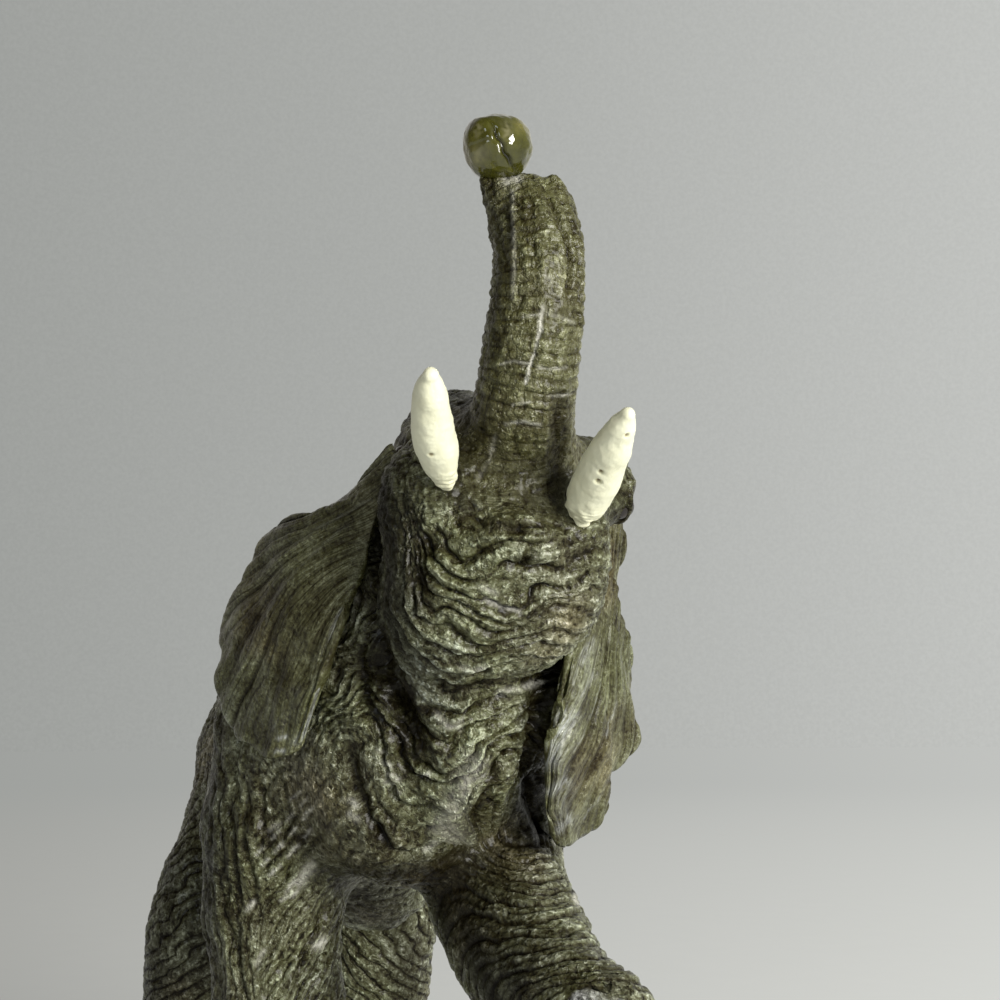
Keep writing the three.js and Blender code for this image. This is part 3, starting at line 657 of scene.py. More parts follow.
# Valleys of the throat folds, top to bottom, in picture places.
THROAT = Phase([
    (0, [(425, 500), (450, 515), (476, 521), (493, 530), (523, 532), (550, 528), (578, 512)]),
    (1, [(420, 520), (440, 545), (478, 555), (510, 553), (545, 548), (585, 532)]),
    (2, [(416, 545), (435, 565), (470, 573), (510, 574), (550, 568), (592, 552)]),
    (3, [(415, 562), (432, 586), (465, 595), (510, 597), (550, 590), (597, 572)]),
    (4, [(415, 576), (430, 602), (460, 612), (505, 613), (550, 606), (600, 590)]),
    (5, [(411, 545), (411, 566), (414, 588), (430, 614), (455, 626), (500, 627), (548, 620), (603, 606)]),
    (6, [(407, 505), (405, 540), (405, 570), (410, 596), (427, 624), (451, 637), (478, 642), (511, 642), (546, 635), (582, 624)]),
    (7, [(400, 490), (397, 530), (396, 565), (398, 590), (404, 620), (425, 648), (450, 657), (500, 659), (545, 651), (585, 640)]),
    (8, [(391, 490), (387, 530), (386, 570), (391, 606), (400, 637), (423, 663), (455, 676), (500, 675), (545, 665), (588, 650)]),
    (9, [(381, 500), (376, 540), (375, 575), (384, 616), (399, 647), (420, 674), (436, 688), (460, 693), (489, 690), (521, 683), (549, 674), (575, 662)]),
    (10.3, [(378, 650), (394, 684), (408, 709), (425, 720), (447, 724), (477, 720), (502, 706), (530, 696)]),
    (11.6, [(374, 680), (384, 704), (400, 732), (418, 752), (436, 761), (462, 756), (492, 735), (520, 712), (538, 698)]),
    (13.0, [(366, 700), (377, 726), (390, 754), (405, 778), (420, 791), (445, 791), (470, 774), (500, 748), (528, 726)]),
    (14.4, [(358, 716), (370, 748), (382, 779), (396, 804), (413, 820), (438, 821), (466, 803), (495, 777), (526, 750)]),
    (15.8, [(348, 735), (358, 770), (369, 804), (383, 833), (401, 848), (430, 848), (460, 832), (492, 805), (528, 778)]),
], far=[(3, (22, -40, 108)), (6, (22, -30, 95)), (9, (22, -22, 84)), (3, (-16, -36, 108)), (6, (-19, -28, 95)),
        (9, (-19, -18, 84)), (0, (18, -50, 118)), (0, (-11, -45, 118)), (5, (3, -20, 130)), (1, (5, -38, 137))])

# Valleys across the raised foreleg, shoulder to foot.
RAISED = Phase([
    (-3, [(500, 838), (530, 846), (553, 846)]),
    (-2, [(485, 842), (505, 858), (530, 860), (556, 857)]),
    (-1, [(474, 846), (495, 866), (530, 870), (562, 866)]),
    (0, [(464, 850), (477, 867), (501, 878), (530, 880), (568, 876)]),
    (1, [(462, 868), (480, 882), (535, 894), (572, 888)]),
    (2, [(464, 885), (480, 900), (515, 907), (576, 903)]),
    (3, [(468, 908), (500, 921), (540, 921), (584, 917)]),
    (4, [(475, 945), (508, 935), (537, 931), (592, 930)]),
    (5, [(484, 962), (526, 948), (560, 943), (597, 942)]),
    (6, [(492, 985), (526, 969), (553, 961), (580, 956), (604, 955)]),
    (7, [(508, 996), (545, 977), (575, 966), (608, 967)]),
    (8, [(530, 999), (555, 981), (573, 974), (600, 978)]),
], far=[(-2, (30, -10, 80)), (0, (30, -18, 70)), (2, (29, -28, 63)), (4, (28, -42, 57)), (6, (28, -54, 54)), (8, (26, -62, 50)),
        (0, (18, -8, 58)), (2, (17, -20, 47)), (4, (17, -38, 39)), (6, (16, -50, 35)), (8, (15, -58, 33))], gap=18.0)

# Deep creases: depth and half width in mm, then picture places.
CREASES = [
    (3.2, 1.5, [(371, 520), (369, 552), (366, 590), (364, 619), (376, 657), (389, 685), (400, 711), (413, 739), (428, 762)]),
    (1.8, 1.1, [(413, 508), (413, 540), (416, 580), (428, 606)]),
    (1.7, 1.1, [(384, 712), (392, 736), (403, 768), (415, 790), (423, 806)]),
    (1.7, 1.2, [(349, 735), (353, 765), (358, 790), (369, 814), (378, 835), (385, 853)]),
    (1.8, 1.3, [(356, 640), (362, 690), (372, 730), (384, 760)]),
    (2.2, 1.5, [(378, 676), (388, 700), (398, 724), (408, 745), (422, 764)]),
    (1.3, 1.1, [(498, 748), (490, 790), (474, 818), (464, 848)]),
    (3.4, 1.7, [(552, 672), (542, 706), (535, 750), (535, 785), (543, 818), (550, 842)]),
    (1.0, 0.7, [(470, 512), (478, 522), (494, 530), (523, 533), (545, 529)]),
    (1.3, 0.9, [(440, 690), (460, 692), (489, 689), (521, 682), (549, 673), (576, 655), (592, 640)]),
    (1.6, 1.4, [(524, 559), (532, 560)]),
    (1.4, 1.2, [(419, 532), (425, 545), (431, 552)]),
    (1.3, 0.50, [(545, 188), (556, 206), (565, 230), (570, 258), (572, 284), (570, 306)]),
    (1.3, 1.1, [(560, 400), (561, 440), (558, 480), (554, 505)]),
    (0.55, 0.5, [(505, 190), (506, 230), (508, 262), (507, 300)]),
    (-0.55, 0.5, [(511, 186), (512, 230), (513, 262), (511, 300)]),
    (-0.75, 0.8, [(559, 184), (571, 205), (578, 236), (582, 280), (580, 326), (577, 372)]),
    (0.5, 0.4, [(530, 190), (533, 230), (534, 262), (533, 300)]),
    (0.35, 0.35, [(536, 246), (552, 241), (566, 240)]),
    (0.35, 0.35, [(537, 312), (556, 316), (577, 318)]),
    (-1.5, 2.0, [(508, 700), (494, 730), (474, 768), (452, 808), (434, 842)]),
    (-0.9, 1.3, [(470, 700), (455, 722), (436, 742), (424, 752)]),
    (0.8, 0.45, [(275, 776), (281, 795), (288, 813), (293, 824)]),
    (0.9, 0.45, [(256, 770), (258, 800), (261, 821), (269, 842), (271, 858)]),
    (0.9, 0.5, [(244, 780), (242, 818), (243, 847), (250, 871), (256, 895), (258, 930)]),
    (0.8, 0.45, [(234, 847), (233, 871), (235, 889), (240, 912)]),
    (0.9, 0.5, [(221, 847), (222, 884), (221, 910), (230, 937), (238, 965)]),
    (1.0, 0.5, [(315, 822), (306, 836), (298, 850), (288, 871), (277, 892)]),
    (0.7, 0.45, [(318, 838), (306, 856), (298, 870)]),
    (0.7, 0.45, [(300, 812), (290, 828), (277, 846)]),
    (-0.7, 0.35, [(262, 866), (277, 850), (292, 832), (306, 815), (318, 803)]),
    (-0.7, 0.35, [(268, 878), (284, 862), (300, 842), (312, 828)]),
    (-0.6, 0.35, [(254, 858), (268, 842), (280, 828)]), (-0.6, 0.35, [(284, 824), (296, 812), (308, 800)]),
    (-0.7, 0.40, [(285, 893), (296, 880), (312, 862)]), (-0.6, 0.35, [(296, 894), (306, 882), (316, 868)]),
    (0.6, 0.30, [(262, 872), (276, 857), (292, 840), (312, 818)]),
    (0.8, 0.5, [(330, 905), (318, 930), (306, 955), (300, 990)]),
    (1.3, 0.8, [(560, 981), (570, 973), (584, 972), (594, 980)]),
    (0.9, 0.6, [(598, 987), (608, 981), (622, 984)]),
    (0.5, 0.3, [(545, 305), (540, 335), (533, 360), (527, 384)]),
    (1.6, 1.0, [(560, 930), (566, 927)]),
]


def crease_lines():
    flat = [every(c[2], 9.0) for c in CREASES]
    X, hit = on_skin_all(np.concatenate(flat))
    out, i = [], 0
    for (depth, width, _), q in zip(CREASES, flat):
        ok = hit[i:i + len(q)]
        P = X[i:i + len(q)][ok]
        i += len(q)
        if len(P) > 1:
            out.append((depth, width, P))
    return out


CREASE_LINES = crease_lines()

# ----------------------------------------------------- small raised features
EYES = {
    "eye_right": (np.array([-9.86, -49.92, 130.45]), np.array([-0.972, 0.137, 0.191])),
    "eye_left": (np.array([28.05, -55.25, 123.01]), np.array([0.972, -0.137, -0.191])),
}
NAILS = []


def nail(at, out, wide, tall, up):
    out = np.array(out, float)
    out /= np.linalg.norm(out)
    up = np.array(up, float)
    up -= up @ out * out
    up /= np.linalg.norm(up)
    side = np.cross(up, out)
    m = dict(kind="E", group="nail", at=np.array(at, float), r=np.array([wide, tall, 1.9]), k=0.7,
             axes=np.array([side, up, out]))
    NAILS.append(m)
    BODY.append(m)


def shell_point(centre, out):
    """First point outside the body going from a centre in a direction."""
    out = np.array(out, float)
    out /= np.linalg.norm(out)
    t = np.arange(0.5, 40, 0.1)
    v = field(np.array(centre, float) + t[:, None] * out)
    return np.array(centre, float) + out * t[(v > 0).argmax()], out


for (cx, cy), turns in (((-15.5, -2), (-125, -97, -69, -41)), ((-19.5, 73.0), (-150, -120, -90, -62)),
                        ((20.0, 73.0), (-118, -90, -60, -30))):
    for deg in turns:
        o = np.array([math.cos(math.radians(deg)), math.sin(math.radians(deg)), 0.12])
        p, o = shell_point((cx, cy, 3.8), o)
        nail(p - o * 1.2, o, 3.3, 3.4, (0, 0, 1))
_foot = np.array([18.0, -61.0, 43.2])
_seen, _ = on_skin_all([(575, 987), (611, 991)])
for spot, wide in ((_seen[0], 3.1), (_seen[1], 2.6), ((26.5, -64.0, 39.0), 2.6), ((9.0, -65.5, 41.0), 2.6)):
    o = np.array(spot) - (_foot + np.array([0, 4.5, 1.0]))
    p, o = shell_point(_foot, o)
    nail(p - o * 1.35, o, wide, 2.8, (0.0, 0.45, 0.9))

for at, out in EYES.values():
    ball = at - out * 1.7
    fwd = np.array([0.25, -0.8, 0.55])
    fwd -= fwd @ out * out
    fwd /= np.linalg.norm(fwd)
    up = np.cross(out, fwd)
    up = up if up[2] > 0 else -up
    for sgn, bulge, r in ((1, 1.0, 0.85), (-1, 0.85, 0.7)):
        ring = []
        for t in np.linspace(0, math.pi, 9):
            p = ball + fwd * 3.0 * math.cos(t) + up * sgn * 1.7 * bulge * math.sin(t)
            ring.append([*(p + out * (0.45 + 0.75 * math.sin(t))), r * 0.85 * (0.65 + 0.35 * math.sin(t))])
        chain("lid", ring, 0.9, 1.0, 1)
    ring = []
    for t in np.linspace(0.35, math.pi - 0.35, 7):
        p = ball + fwd * 4.6 * math.cos(t) + up * 3.7 * math.sin(t)
        q, _ = shell_point(p - out * 6, out)
        ring.append([*(q - out * 0.2), 0.8])
    chain("lid", ring, 1.6, 1.0, 1)


# ---------------------------------------------------------------- hide relief
def weights(X):
    d = {}
    for m in BODY:
        if m["group"] in ("nail", "lid"):
            continue
        e = prim(m, X)
        g = m["group"]
        if g in ("trunk", "tip"):
            g = "trunk"
            e = e - 3.8
        d[g] = np.minimum(d[g], e) if g in d else e
    D = np.stack([d[g] for g in GROUPS], 1)
    D = np.exp(-(D - D.min(1)[:, None]) / 1.8)
    D /= D.sum(1)[:, None]
    return {g: D[:, i] for i, g in enumerate(GROUPS)}


def smooth(x, a, b):
    t = np.clip((x - a) / (b - a), 0, 1)
    return t * t * (3 - 2 * t)


def along_axes(X, a, b, c, sa, sb, sc):
    """Space squeezed along three directions, for plates longer one way."""
    M = np.array([np.array(v, float) / np.linalg.norm(v) / s for v, s in ((a, sa), (b, sb), (c, sc))])
    return X @ M.T


CAM_FRONT = (-0.338, -0.928, -0.156)


def relief(X, N):
    """Height of the modelled skin over the smooth body, and how open each point lies."""
    w = weights(X)
    wander = np.stack([noise(X / 7.0 + 3.1), noise(X / 7.0 + 41.7), noise(X / 7.0 + 77.3)], 1)
    jitter = np.stack([noise(X / 2.1 + 13.1), noise(X / 2.1 + 51.7), noise(X / 2.1 + 97.3)], 1)
    Xw = X + 1.5 * wander + 0.35 * jitter
    net = cells(Xw / 2.3)
    net = 1 - np.exp(-net / 0.16)                       # 0 on cracks, 1 on plates
    small = cells((X + 0.5 * jitter) / 1.15)
    small = 1 - np.exp(-small / 0.2)
    lump = noise(X / 5.5 + 9) * 0.45 + noise(X / 11.0 + 4) * 0.7
    coarse = noise(X / 1.4 + 5) * 0.10

    place = picture(X)
    across, down = place[:, 0], place[:, 1]
    H = np.zeros(len(X))
    C = np.zeros(len(X))
    patchy = 0.30 + 0.70 * smooth(noise(X / 5.2 + 200) + 0.4 * noise(X / 2.0 + 15), -0.35, 0.45)

    P = {"flow": np.zeros(len(X)), "trunk": w["trunk"]}

    def add(g, h, c, flow):
        nonlocal H, C
        H = H + w[g] * h
        C = C + w[g] * c
        P["flow"] = P["flow"] + w[g] * flow

    def lines(slot, count, share):
        P["f%d" % slot] = count
        P["w%d" % slot] = P.get("w%d" % slot, 0) + share * patchy

    # trunk: rings cut by lengthwise grooves into bricks on the under side
    u, ang, rad = along(TRUNK, X, CAM_FRONT)
    under = smooth(np.cos(ang), -0.05, 0.45)
    p = u / 1.72 + 0.24 * wander[:, 0] + 0.16 * jitter[:, 0] + 0.12 * np.sin(2 * ang + 0.25 * u)
    ring = fold(p, 0.45)
    q = ang * 7.3 / 2.75 + 0.40 * np.sin(u / 6.5) + 0.45 * wander[:, 1] + 0.16 * jitter[:, 1]
    q = q + 0.30 * (np.floor(p) % 2 - 0.5) * smooth(noise(X / 4.0 + 90), -0.1, 0.3)
    col = fold(q + 0.3, 0.45)
    p2 = 1.6 * p + 0.5 * jitter[:, 1] + 0.6 * wander[:, 2]
    half = fold(p2, 0.7)
    gap = smooth(noise(X / 3.3 + 60), -0.25, 0.25)
    here = 0.45 + 0.75 * smooth(noise(X / 4.5 + 44), -0.4, 0.4)
    slab = smooth(across, 531, 537) * smooth(across, 572, 564) * smooth(down, 345, 320) * under
    ring = ring + (1 - ring) * 0.62 * slab
    col = col + (1 - col) * 0.75 * slab
    h = ((0.46 - 0.14 * under) * (ring - 1) + 0.34 * here * (col - 1) * under + 0.16 * (half - 1) * gap
         + 0.16 * (small - 1) + 0.34 * lump + 0.16 * jitter[:, 2])
    c = 0.38 * ring + 0.26 * (col * under + 1 - under) + 0.14 * half + 0.22 * small
    add("trunk", h, c, q)
    lines(1, p, 0.60 * w["trunk"] * (1 - 0.7 * slab))
    lines(2, q + 0.3, 0.50 * w["trunk"] * under * here * (1 - 0.8 * slab))
    lines(3, p2, 0.30 * w["trunk"] * gap)

    # throat and cheeks: sagging folds, each broken into knobs
    t = THROAT(X + 2.6 * wander + 0.5 * jitter)
    t = t + 0.55 * noise(np.stack([t * 0.85, 0 * t + 3.3, X[:, 0] / 30.0], 1))
    t2 = 2 * t + 0.5 * jitter[:, 2] + 0.8 * wander[:, 2] + 0.25
    f = 0.35 * fold(t, 0.50) + 0.65 * sag(t, 0.55, 0.62)
    f2 = fold(t2, 0.8)
    knob = cells(along_axes(X + 0.6 * jitter, (1, 0, 0.1), (0, -1, 1), (0, 1, 1), 1.9, 1.6, 2.2))
    knob = 1 - np.exp(-knob / 0.2)
    rough = smooth(across, 548, 592) * smooth(down, 655, 615) + 0.7 * smooth(down, 556, 532) * smooth(down, 470, 500)
    rough = np.clip(rough, 0, 1)
    deep = (0.30 + 1.10 * smooth(noise(X / 8.0 + 31) + 0.4 * noise(X / 3.5 + 8), -0.45, 0.35)) * (1 - 0.72 * rough)
    h = (1.45 * deep * (f - 1) + 0.34 * (f2 - 1) * (1 - 0.5 * rough) + (0.26 + 0.16 * rough) * (knob - 1)
         + 0.20 * (small - 1) + 0.75 * lump + 0.16 * jitter[:, 0])
    c = 0.20 + (0.30 + 0.25 * deep) * (f - 0.35) + 0.14 * f2 + 0.20 * knob + 0.18 * small
    add("neck", h, c, t)
    add("jaw", 0.85 * h, c, t)
    low_face = smooth(X[:, 2], 125, 117) * smooth(X[:, 1], -38, -44)
    lines(4, t, (w["neck"] + w["jaw"] + w["head"] * low_face) * np.clip(deep, 0, 1))
    lines(5, t2, 0.45 * (w["neck"] + w["jaw"] + w["head"] * low_face) * gap)
    h_throat, c_throat, t_throat = h, c, t

    # crown, brows and cheeks: plates with slack folds round the sockets
    slack = along_axes(Xw, (0.2, -0.5, 0.85), (1, 0, 0), (0, 1, 0.5), 3.4, 30, 30).sum(1)
    f = fold(slack, 0.7)
    h = 0.30 * (net - 1) + 0.20 * (small - 1) + 0.40 * (f - 1) + 0.8 * lump + 0.12 * jitter[:, 0]
    c = 0.32 * net + 0.25 * small + 0.43 * f
    add("head", h * (1 - low_face) + 0.9 * h_throat * low_face, c * (1 - low_face) + c_throat * low_face,
        slack * (1 - low_face) + t_throat * low_face)

    # chest: slanting plates
    slant = along_axes(Xw, (0.62, 0.1, 0.78), (-0.78, 0.1, 0.62), (0, 1, 0), 4.6, 1.9, 3.2)
    f = 1 - np.exp(-cells(slant) / 0.2)
    sl = slant[:, 1] * 0.62 + 0.6 * wander[:, 2] + 0.15 * jitter[:, 1]
    f2 = fold(sl, 0.7)
    f3 = sag(t_throat, 0.6, 0.5)
    f3 = f3 + (1 - f3) * np.maximum(0.92 * smooth(across, 412, 458), smooth(across, 374, 350))
    h = 0.34 * (f - 1) + 0.40 * (f2 - 1) + 0.95 * deep * (f3 - 1) + 0.18 * (small - 1) + 1.1 * lump + 0.10 * jitter[:, 1]
    c = 0.26 * f + 0.24 * f2 + 0.30 * f3 + 0.20 * small
    add("chest", h, c, sl)
    lines(6, sl, 0.45 * w["chest"])
    P["w4"] = P["w4"] + 0.7 * w["chest"] * patchy * smooth(across, 458, 412) * smooth(across, 350, 374)

    # barrel: hanging folds on the flanks, a finer net over the back
    flank = smooth(np.abs(X[:, 0]), 12, 24) * smooth(X[:, 2], 125, 108)
    fl = (Xw[:, 1] + 0.30 * (X[:, 2] - 90) + 2.2 * wander[:, 1]) / 4.1
    f = fold(fl, 0.6)
    f2 = fold((Xw[:, 2] - 0.25 * X[:, 1] + 2.0 * wander[:, 2]) / 2.9, 0.75)
    long_net = 1 - np.exp(-cells(along_axes(Xw, (1, 0, 0), (0, 1, 0.3), (0, -0.3, 1), 2.4, 2.0, 4.2)) / 0.18)
    h = (0.62 * (f - 1) * flank + 0.28 * (f2 - 1) + 0.38 * (long_net - 1) + 0.16 * (small - 1) + 0.8 * lump)
    c = 0.30 * f * flank + 0.30 * (1 - flank) + 0.20 * f2 + 0.32 * long_net + 0.18 * small
    add("torso", h, c, fl * flank + (1 - flank) * (X[:, 2] - 0.25 * X[:, 1]) / 2.9)
    lines(7, fl, 0.8 * w["torso"] * flank)

    # standing foreleg and shoulder: upright folds outside, slanting ones in front
    u, ang, rad = along(LEG_FR, X, (-0.34, -0.94, 0))
    arc = ang * 13.0
    up_ = arc / 2.9 + 0.75 * wander[:, 0] + 0.012 * u * arc / 3 + 0.16 * jitter[:, 0]
    upright = fold(up_, 0.5)
    sl = (0.60 * u - 0.80 * arc) / 1.7 + 0.60 * wander[:, 1] + 0.16 * jitter[:, 1]
    slope = fold(sl, 0.55)
    inner = smooth(ang, 0.30, -0.10) * smooth(ang, -2.6, -2.2) + smooth(ang, 2.2, 2.8)
    f = slope * inner + upright * (1 - inner)
    low = smooth(u, 58, 72)
    band = fold(u / 3.0 + 0.5 * wander[:, 2] + 0.2 * jitter[:, 2], 0.6)
    f = f * (1 - low) + low * (0.5 * band + 0.5 * net)
    cross = 1 - np.exp(-cells(along_axes(X + 0.5 * jitter, (1, 0, 0), (0, 1, 0), (0, 0, 1), 1.7, 1.7, 2.6)) / 0.2)
    broad = fold(up_ / 3.1 + 0.3, 0.8) * (1 - inner) + fold(sl / 3.4 + 0.2, 0.8) * inner
    rise = 0.35 + 0.85 * smooth(noise(X / 6.5 + 140), -0.45, 0.4)
    h = (0.55 * rise * (f - 1) + 0.85 * (broad - 1) * (1 - low) * (0.5 + 0.5 * rise) + 0.20 * (cross - 1)
         + 0.16 * (small - 1) + 1.1 * lump + 0.12 * jitter[:, 2])
    c = 0.30 + rise * 0.42 * (f - 0.5) + 0.20 * cross + 0.20 * small
    add("fr", h, c, (sl * inner + up_ * (1 - inner)) * smooth(u, 1.0, 9.0))
    lines(8, up_, 0.8 * w["fr"] * (1 - inner) * (1 - low) * rise)
    lines(9, sl, 0.6 * w["fr"] * inner * (1 - low) * rise)

    # raised foreleg: stacked rings
    t = RAISED(Xw)
    f = fold(t, 0.5)
    t2 = 2 * t + 0.5 * wander[:, 0] + 0.2 * jitter[:, 1]
    f2 = fold(t2, 0.7)
    h = 0.62 * (0.6 + 0.5 * deep) * (f - 1) + 0.36 * (f2 - 1) + 0.20 * (cross - 1) + 0.6 * lump + 0.10 * jitter[:, 0]
    lines(10, t, 0.9 * w["fl"])
    lines(11, t2, 0.55 * w["fl"])
    c = 0.42 * f + 0.32 * f2 + 0.26 * cross
    add("fl", h, c, t)

    # hind legs: shallow slanting folds, rings at the ankle
    for g, table, sgn in (("hr", LEG_HR, 1), ("hl", LEG_HL, -1)):
        u, ang, rad = along(table, X, (0, -1, 0))
        arc = ang * 13.0 * sgn
        hl = (0.80 * u - 0.60 * arc) / 2.7 + 0.5 * wander[:, 0] + 0.12 * jitter[:, 0]
        f = fold(hl, 0.55)
        low = smooth(u, 48, 60)
        band = fold(u / 2.8 + 0.5 * wander[:, 2] + 0.2 * jitter[:, 2], 0.6)
        f = f * (1 - low) + band * low
        h = 0.50 * (f - 1) + 0.28 * (cross - 1) + 0.18 * (small - 1) + 0.8 * lump + 0.10 * jitter[:, 0]
        c = 0.58 * f + 0.24 * cross + 0.18 * small
        add(g, h, c, hl)
        if (w[g] > 0.02).any():
            P["f12"] = hl if "f12" not in P else np.where(w[g] > w["hr" if g == "hl" else "hl"], hl, P["f12"])
            P["w12"] = P.get("w12", 0) + w[g] * (1 - low)

    H = H + coarse
    stray = X + 0.9 * wander + 0.25 * jitter
    uneven = 0.75 + 0.55 * noise(X / 4.2 + 71)
    for depth, width, L in CREASE_LINES:
        near = np.abs(X - L.mean(0)).max(1) < 60
        d, along_ = to_line(stray[near], L, True)
        ends = smooth(along_, 0.0, 0.22) * smooth(along_, 1.0, 0.78)
        k = depth * uneven[near] * (0.25 + 0.75 * ends)
        g = np.exp(-(d / width) ** 2)
        wide = np.exp(-(d / (2.6 * width)) ** 2)
        H[near] -= k * (0.62 * g + 0.38 * wide)
        C[near] *= 1 - np.clip(0.95 * k / max(depth, 1.2), 0, 1) * np.exp(-(d / (width * 1.1)) ** 2)
        lip = np.exp(-((d - width * 2.3) / (width * 0.9)) ** 2)
        H[near] += 0.16 * k * lip

    # calm where the sole, nails and eyes are
    calm = smooth(X[:, 2], 0.0, 2.2)
    H *= 0.15 + 0.85 * calm
    share = calm.copy()
    nails = np.full(len(X), 9.0)
    for m in NAILS:
        nails = np.minimum(nails, prim(m, X))
    mask = smooth(nails, 0.45, 0.05)
    H = H * (1 - mask) + mask * 0.06 * noise(X / 1.6)
    C = C * (1 - mask) + mask * 0.8
    rim = smooth(nails, 1.1, 0.5) * (1 - mask)
    C = C * (1 - 0.6 * rim)
    for at, out in EYES.values():
        near = np.linalg.norm(X - (at - out * 1.7), axis=1)
        k = smooth(near, 3.2, 6.0)
        H *= 0.12 + 0.88 * k
        C = C * (0.75 + 0.25 * k)
        share = share * k
    share = share * (1 - mask)
    for k in P:
        if k[0] == "w":
            P[k] = P[k] * share
    return H, np.clip(C, 0, 1), mask, P


def openness(X, N):
    """1 on open skin, falling to 0 in the hollows between limbs and folds of the body."""
    a = 0
    for k, s in ((3.0, 0.3), (7.0, 0.4), (13.0, 0.3)):
        a = a + s * np.clip(field(X + N * k) / k, 0, 1)
    return a


# Painted shade, dark in the hollows and on the shadowed sides: reach in mm, strength, picture places.
PAINTED_SHADE = [
    (4.2, 0.92, [(383, 482), (377, 520), (375, 560), (374, 600), (377, 640), (386, 672), (398, 702)]),
    (2.6, 0.75, [(404, 500), (403, 540), (404, 580), (412, 606)]),
    (2.2, 0.66, [(563, 398), (564, 430), (561, 465), (558, 492)]),
    (1.6, 0.60, [(452, 488), (459, 497), (468, 506)]),
    (1.6, 0.55, [(466, 400), (466, 440), (463, 470)]),
    (3.0, 0.85, [(528, 800), (534, 822), (540, 842)]),
    (6.0, 0.88, [(452, 872), (460, 912), (474, 952), (490, 996)]),
    (6.0, 0.62, [(360, 900), (390, 920), (408, 955), (402, 996)]),
    (5.0, 0.60, [(212, 800), (208, 860), (206, 920), (204, 980)]),
    (5.2, 0.88, [(388, 520), (386, 560), (388, 600), (394, 640)]),
    (3.6, 0.97, [(556, 668), (547, 690), (541, 712), (537, 750), (538, 785), (542, 815), (548, 838)]),
    (2.2, 0.80, [(530, 700), (527, 740), (528, 780), (534, 815)]),
    (2.6, 0.60, [(452, 866), (470, 862), (500, 850)]),
    (4.5, 0.36, [(500, 884), (520, 916), (545, 950), (562, 972)]),
    (3.5, 0.34, [(476, 876), (504, 872), (534, 862)]),
    (1.0, 0.45, [(491, 190), (496, 230), (498, 270), (495, 310), (490, 350)]),
    (4.5, 0.85, [(436, 872), (440, 900), (446, 930)]),
    (3.5, 0.62, [(350, 876), (385, 886), (420, 880)]),
    (3.0, 0.55, [(470, 900), (470, 940), (490, 980)]),
    (2.6, 0.60, [(200, 862), (196, 900), (192, 940)]),
    (2.6, 0.55, [(341, 890), (338, 940), (338, 990)]),
    (1.3, 0.75, [(525, 559), (533, 561)]),
    (1.8, 0.55, [(354, 560), (356, 590), (350, 612)]),
    (2.6, 0.97, [(370, 660), (380, 684), (392, 712), (402, 738), (416, 760)]),
    (3.0, 0.85, [(345, 868), (372, 877), (400, 877), (430, 868)]),
    (7.0, 0.40, [(172, 870), (160, 930), (158, 990)]),
    (1.4, 0.75, [(374, 720), (384, 748), (394, 772), (408, 792)]),
    (1.4, 0.70, [(352, 770), (360, 796), (370, 822), (382, 850)]),
    (3.2, 0.70, [(476, 905), (488, 935), (502, 965), (520, 995)]),
    (2.2, 0.55, [(376, 832), (383, 848)]),
    (1.6, 0.60, [(560, 930), (566, 928)]),
    (3.0, 0.35, [(545, 505), (560, 515)]),
]


# How strongly each point takes the painted shade of the marks, falling off away from each stroke.
def painted_shade_marks(marks, V):
    v = np.zeros(len(V))
    for reach, strength, poly in marks:
        X, hit = on_skin_all(every(poly, 6.0))
        if hit.sum() > 1:
            near = np.abs(V - X[hit].mean(0)).max(1) < 60
            d = to_line(V[near] + 0.25 * reach * noise(V[near] / 2.5)[:, None], X[hit])
            v[near] = np.maximum(v[near], strength * np.exp(-(d / reach) ** 2))
    return v


def skin_piece(name, lo, hi, pitch, levels, keep, cut=()):
    """One casting's hide: inside the block "keep", outside the blocks "cut"."""
    V, Q, N = skin(lo, hi, pitch, levels)
    H, C, nails, counts = relief(V, N)
    open_ = openness(V, N)
    base = V.copy()
    V = V + N * H[:, None]
    V[:, 2] = np.maximum(V[:, 2], 0.0)
    N2 = normals(V, Q)
    A = dict(cav=C, open=open_, nail=nails, N=N2, base=base, smooth=N)
    A["flow"] = counts["flow"]
    # strength of the painted shade at each point
    A["painted_shade"] = painted_shade_marks(PAINTED_SHADE, V)
    A["trunk"] = counts["trunk"]
    for k in range(1, 13):
        if "w%d" % k in counts and np.max(counts["w%d" % k]) > 0.05:
            A["f%d" % k], A["w%d" % k] = counts["f%d" % k], counts["w%d" % k]
    T = np.zeros((0, 3), int)
    bounds_lo, bounds_hi = np.array(lo, float) + pitch * 1.5, np.array(hi, float) - pitch * 1.5
    if keep:
        V, A, Q, T = clip(V, A, Q, T, -block(keep, V))
    for c in cut:
        V, A, Q, T = clip(V, A, Q, T, block(c, V))
    V, A, Q, T = without_crumbs(V, A, Q, T)
    loops = rims(Q, T)
    N2 = A.pop("N")
    N2 /= np.maximum(np.linalg.norm(N2, axis=1), 1e-9)[:, None]
    base = A.pop("base")
    flat = A.pop("smooth")
    ob = build(name, V, [Q, T], A, N2, loops)
    chart(ob, base, flat)
    return ob


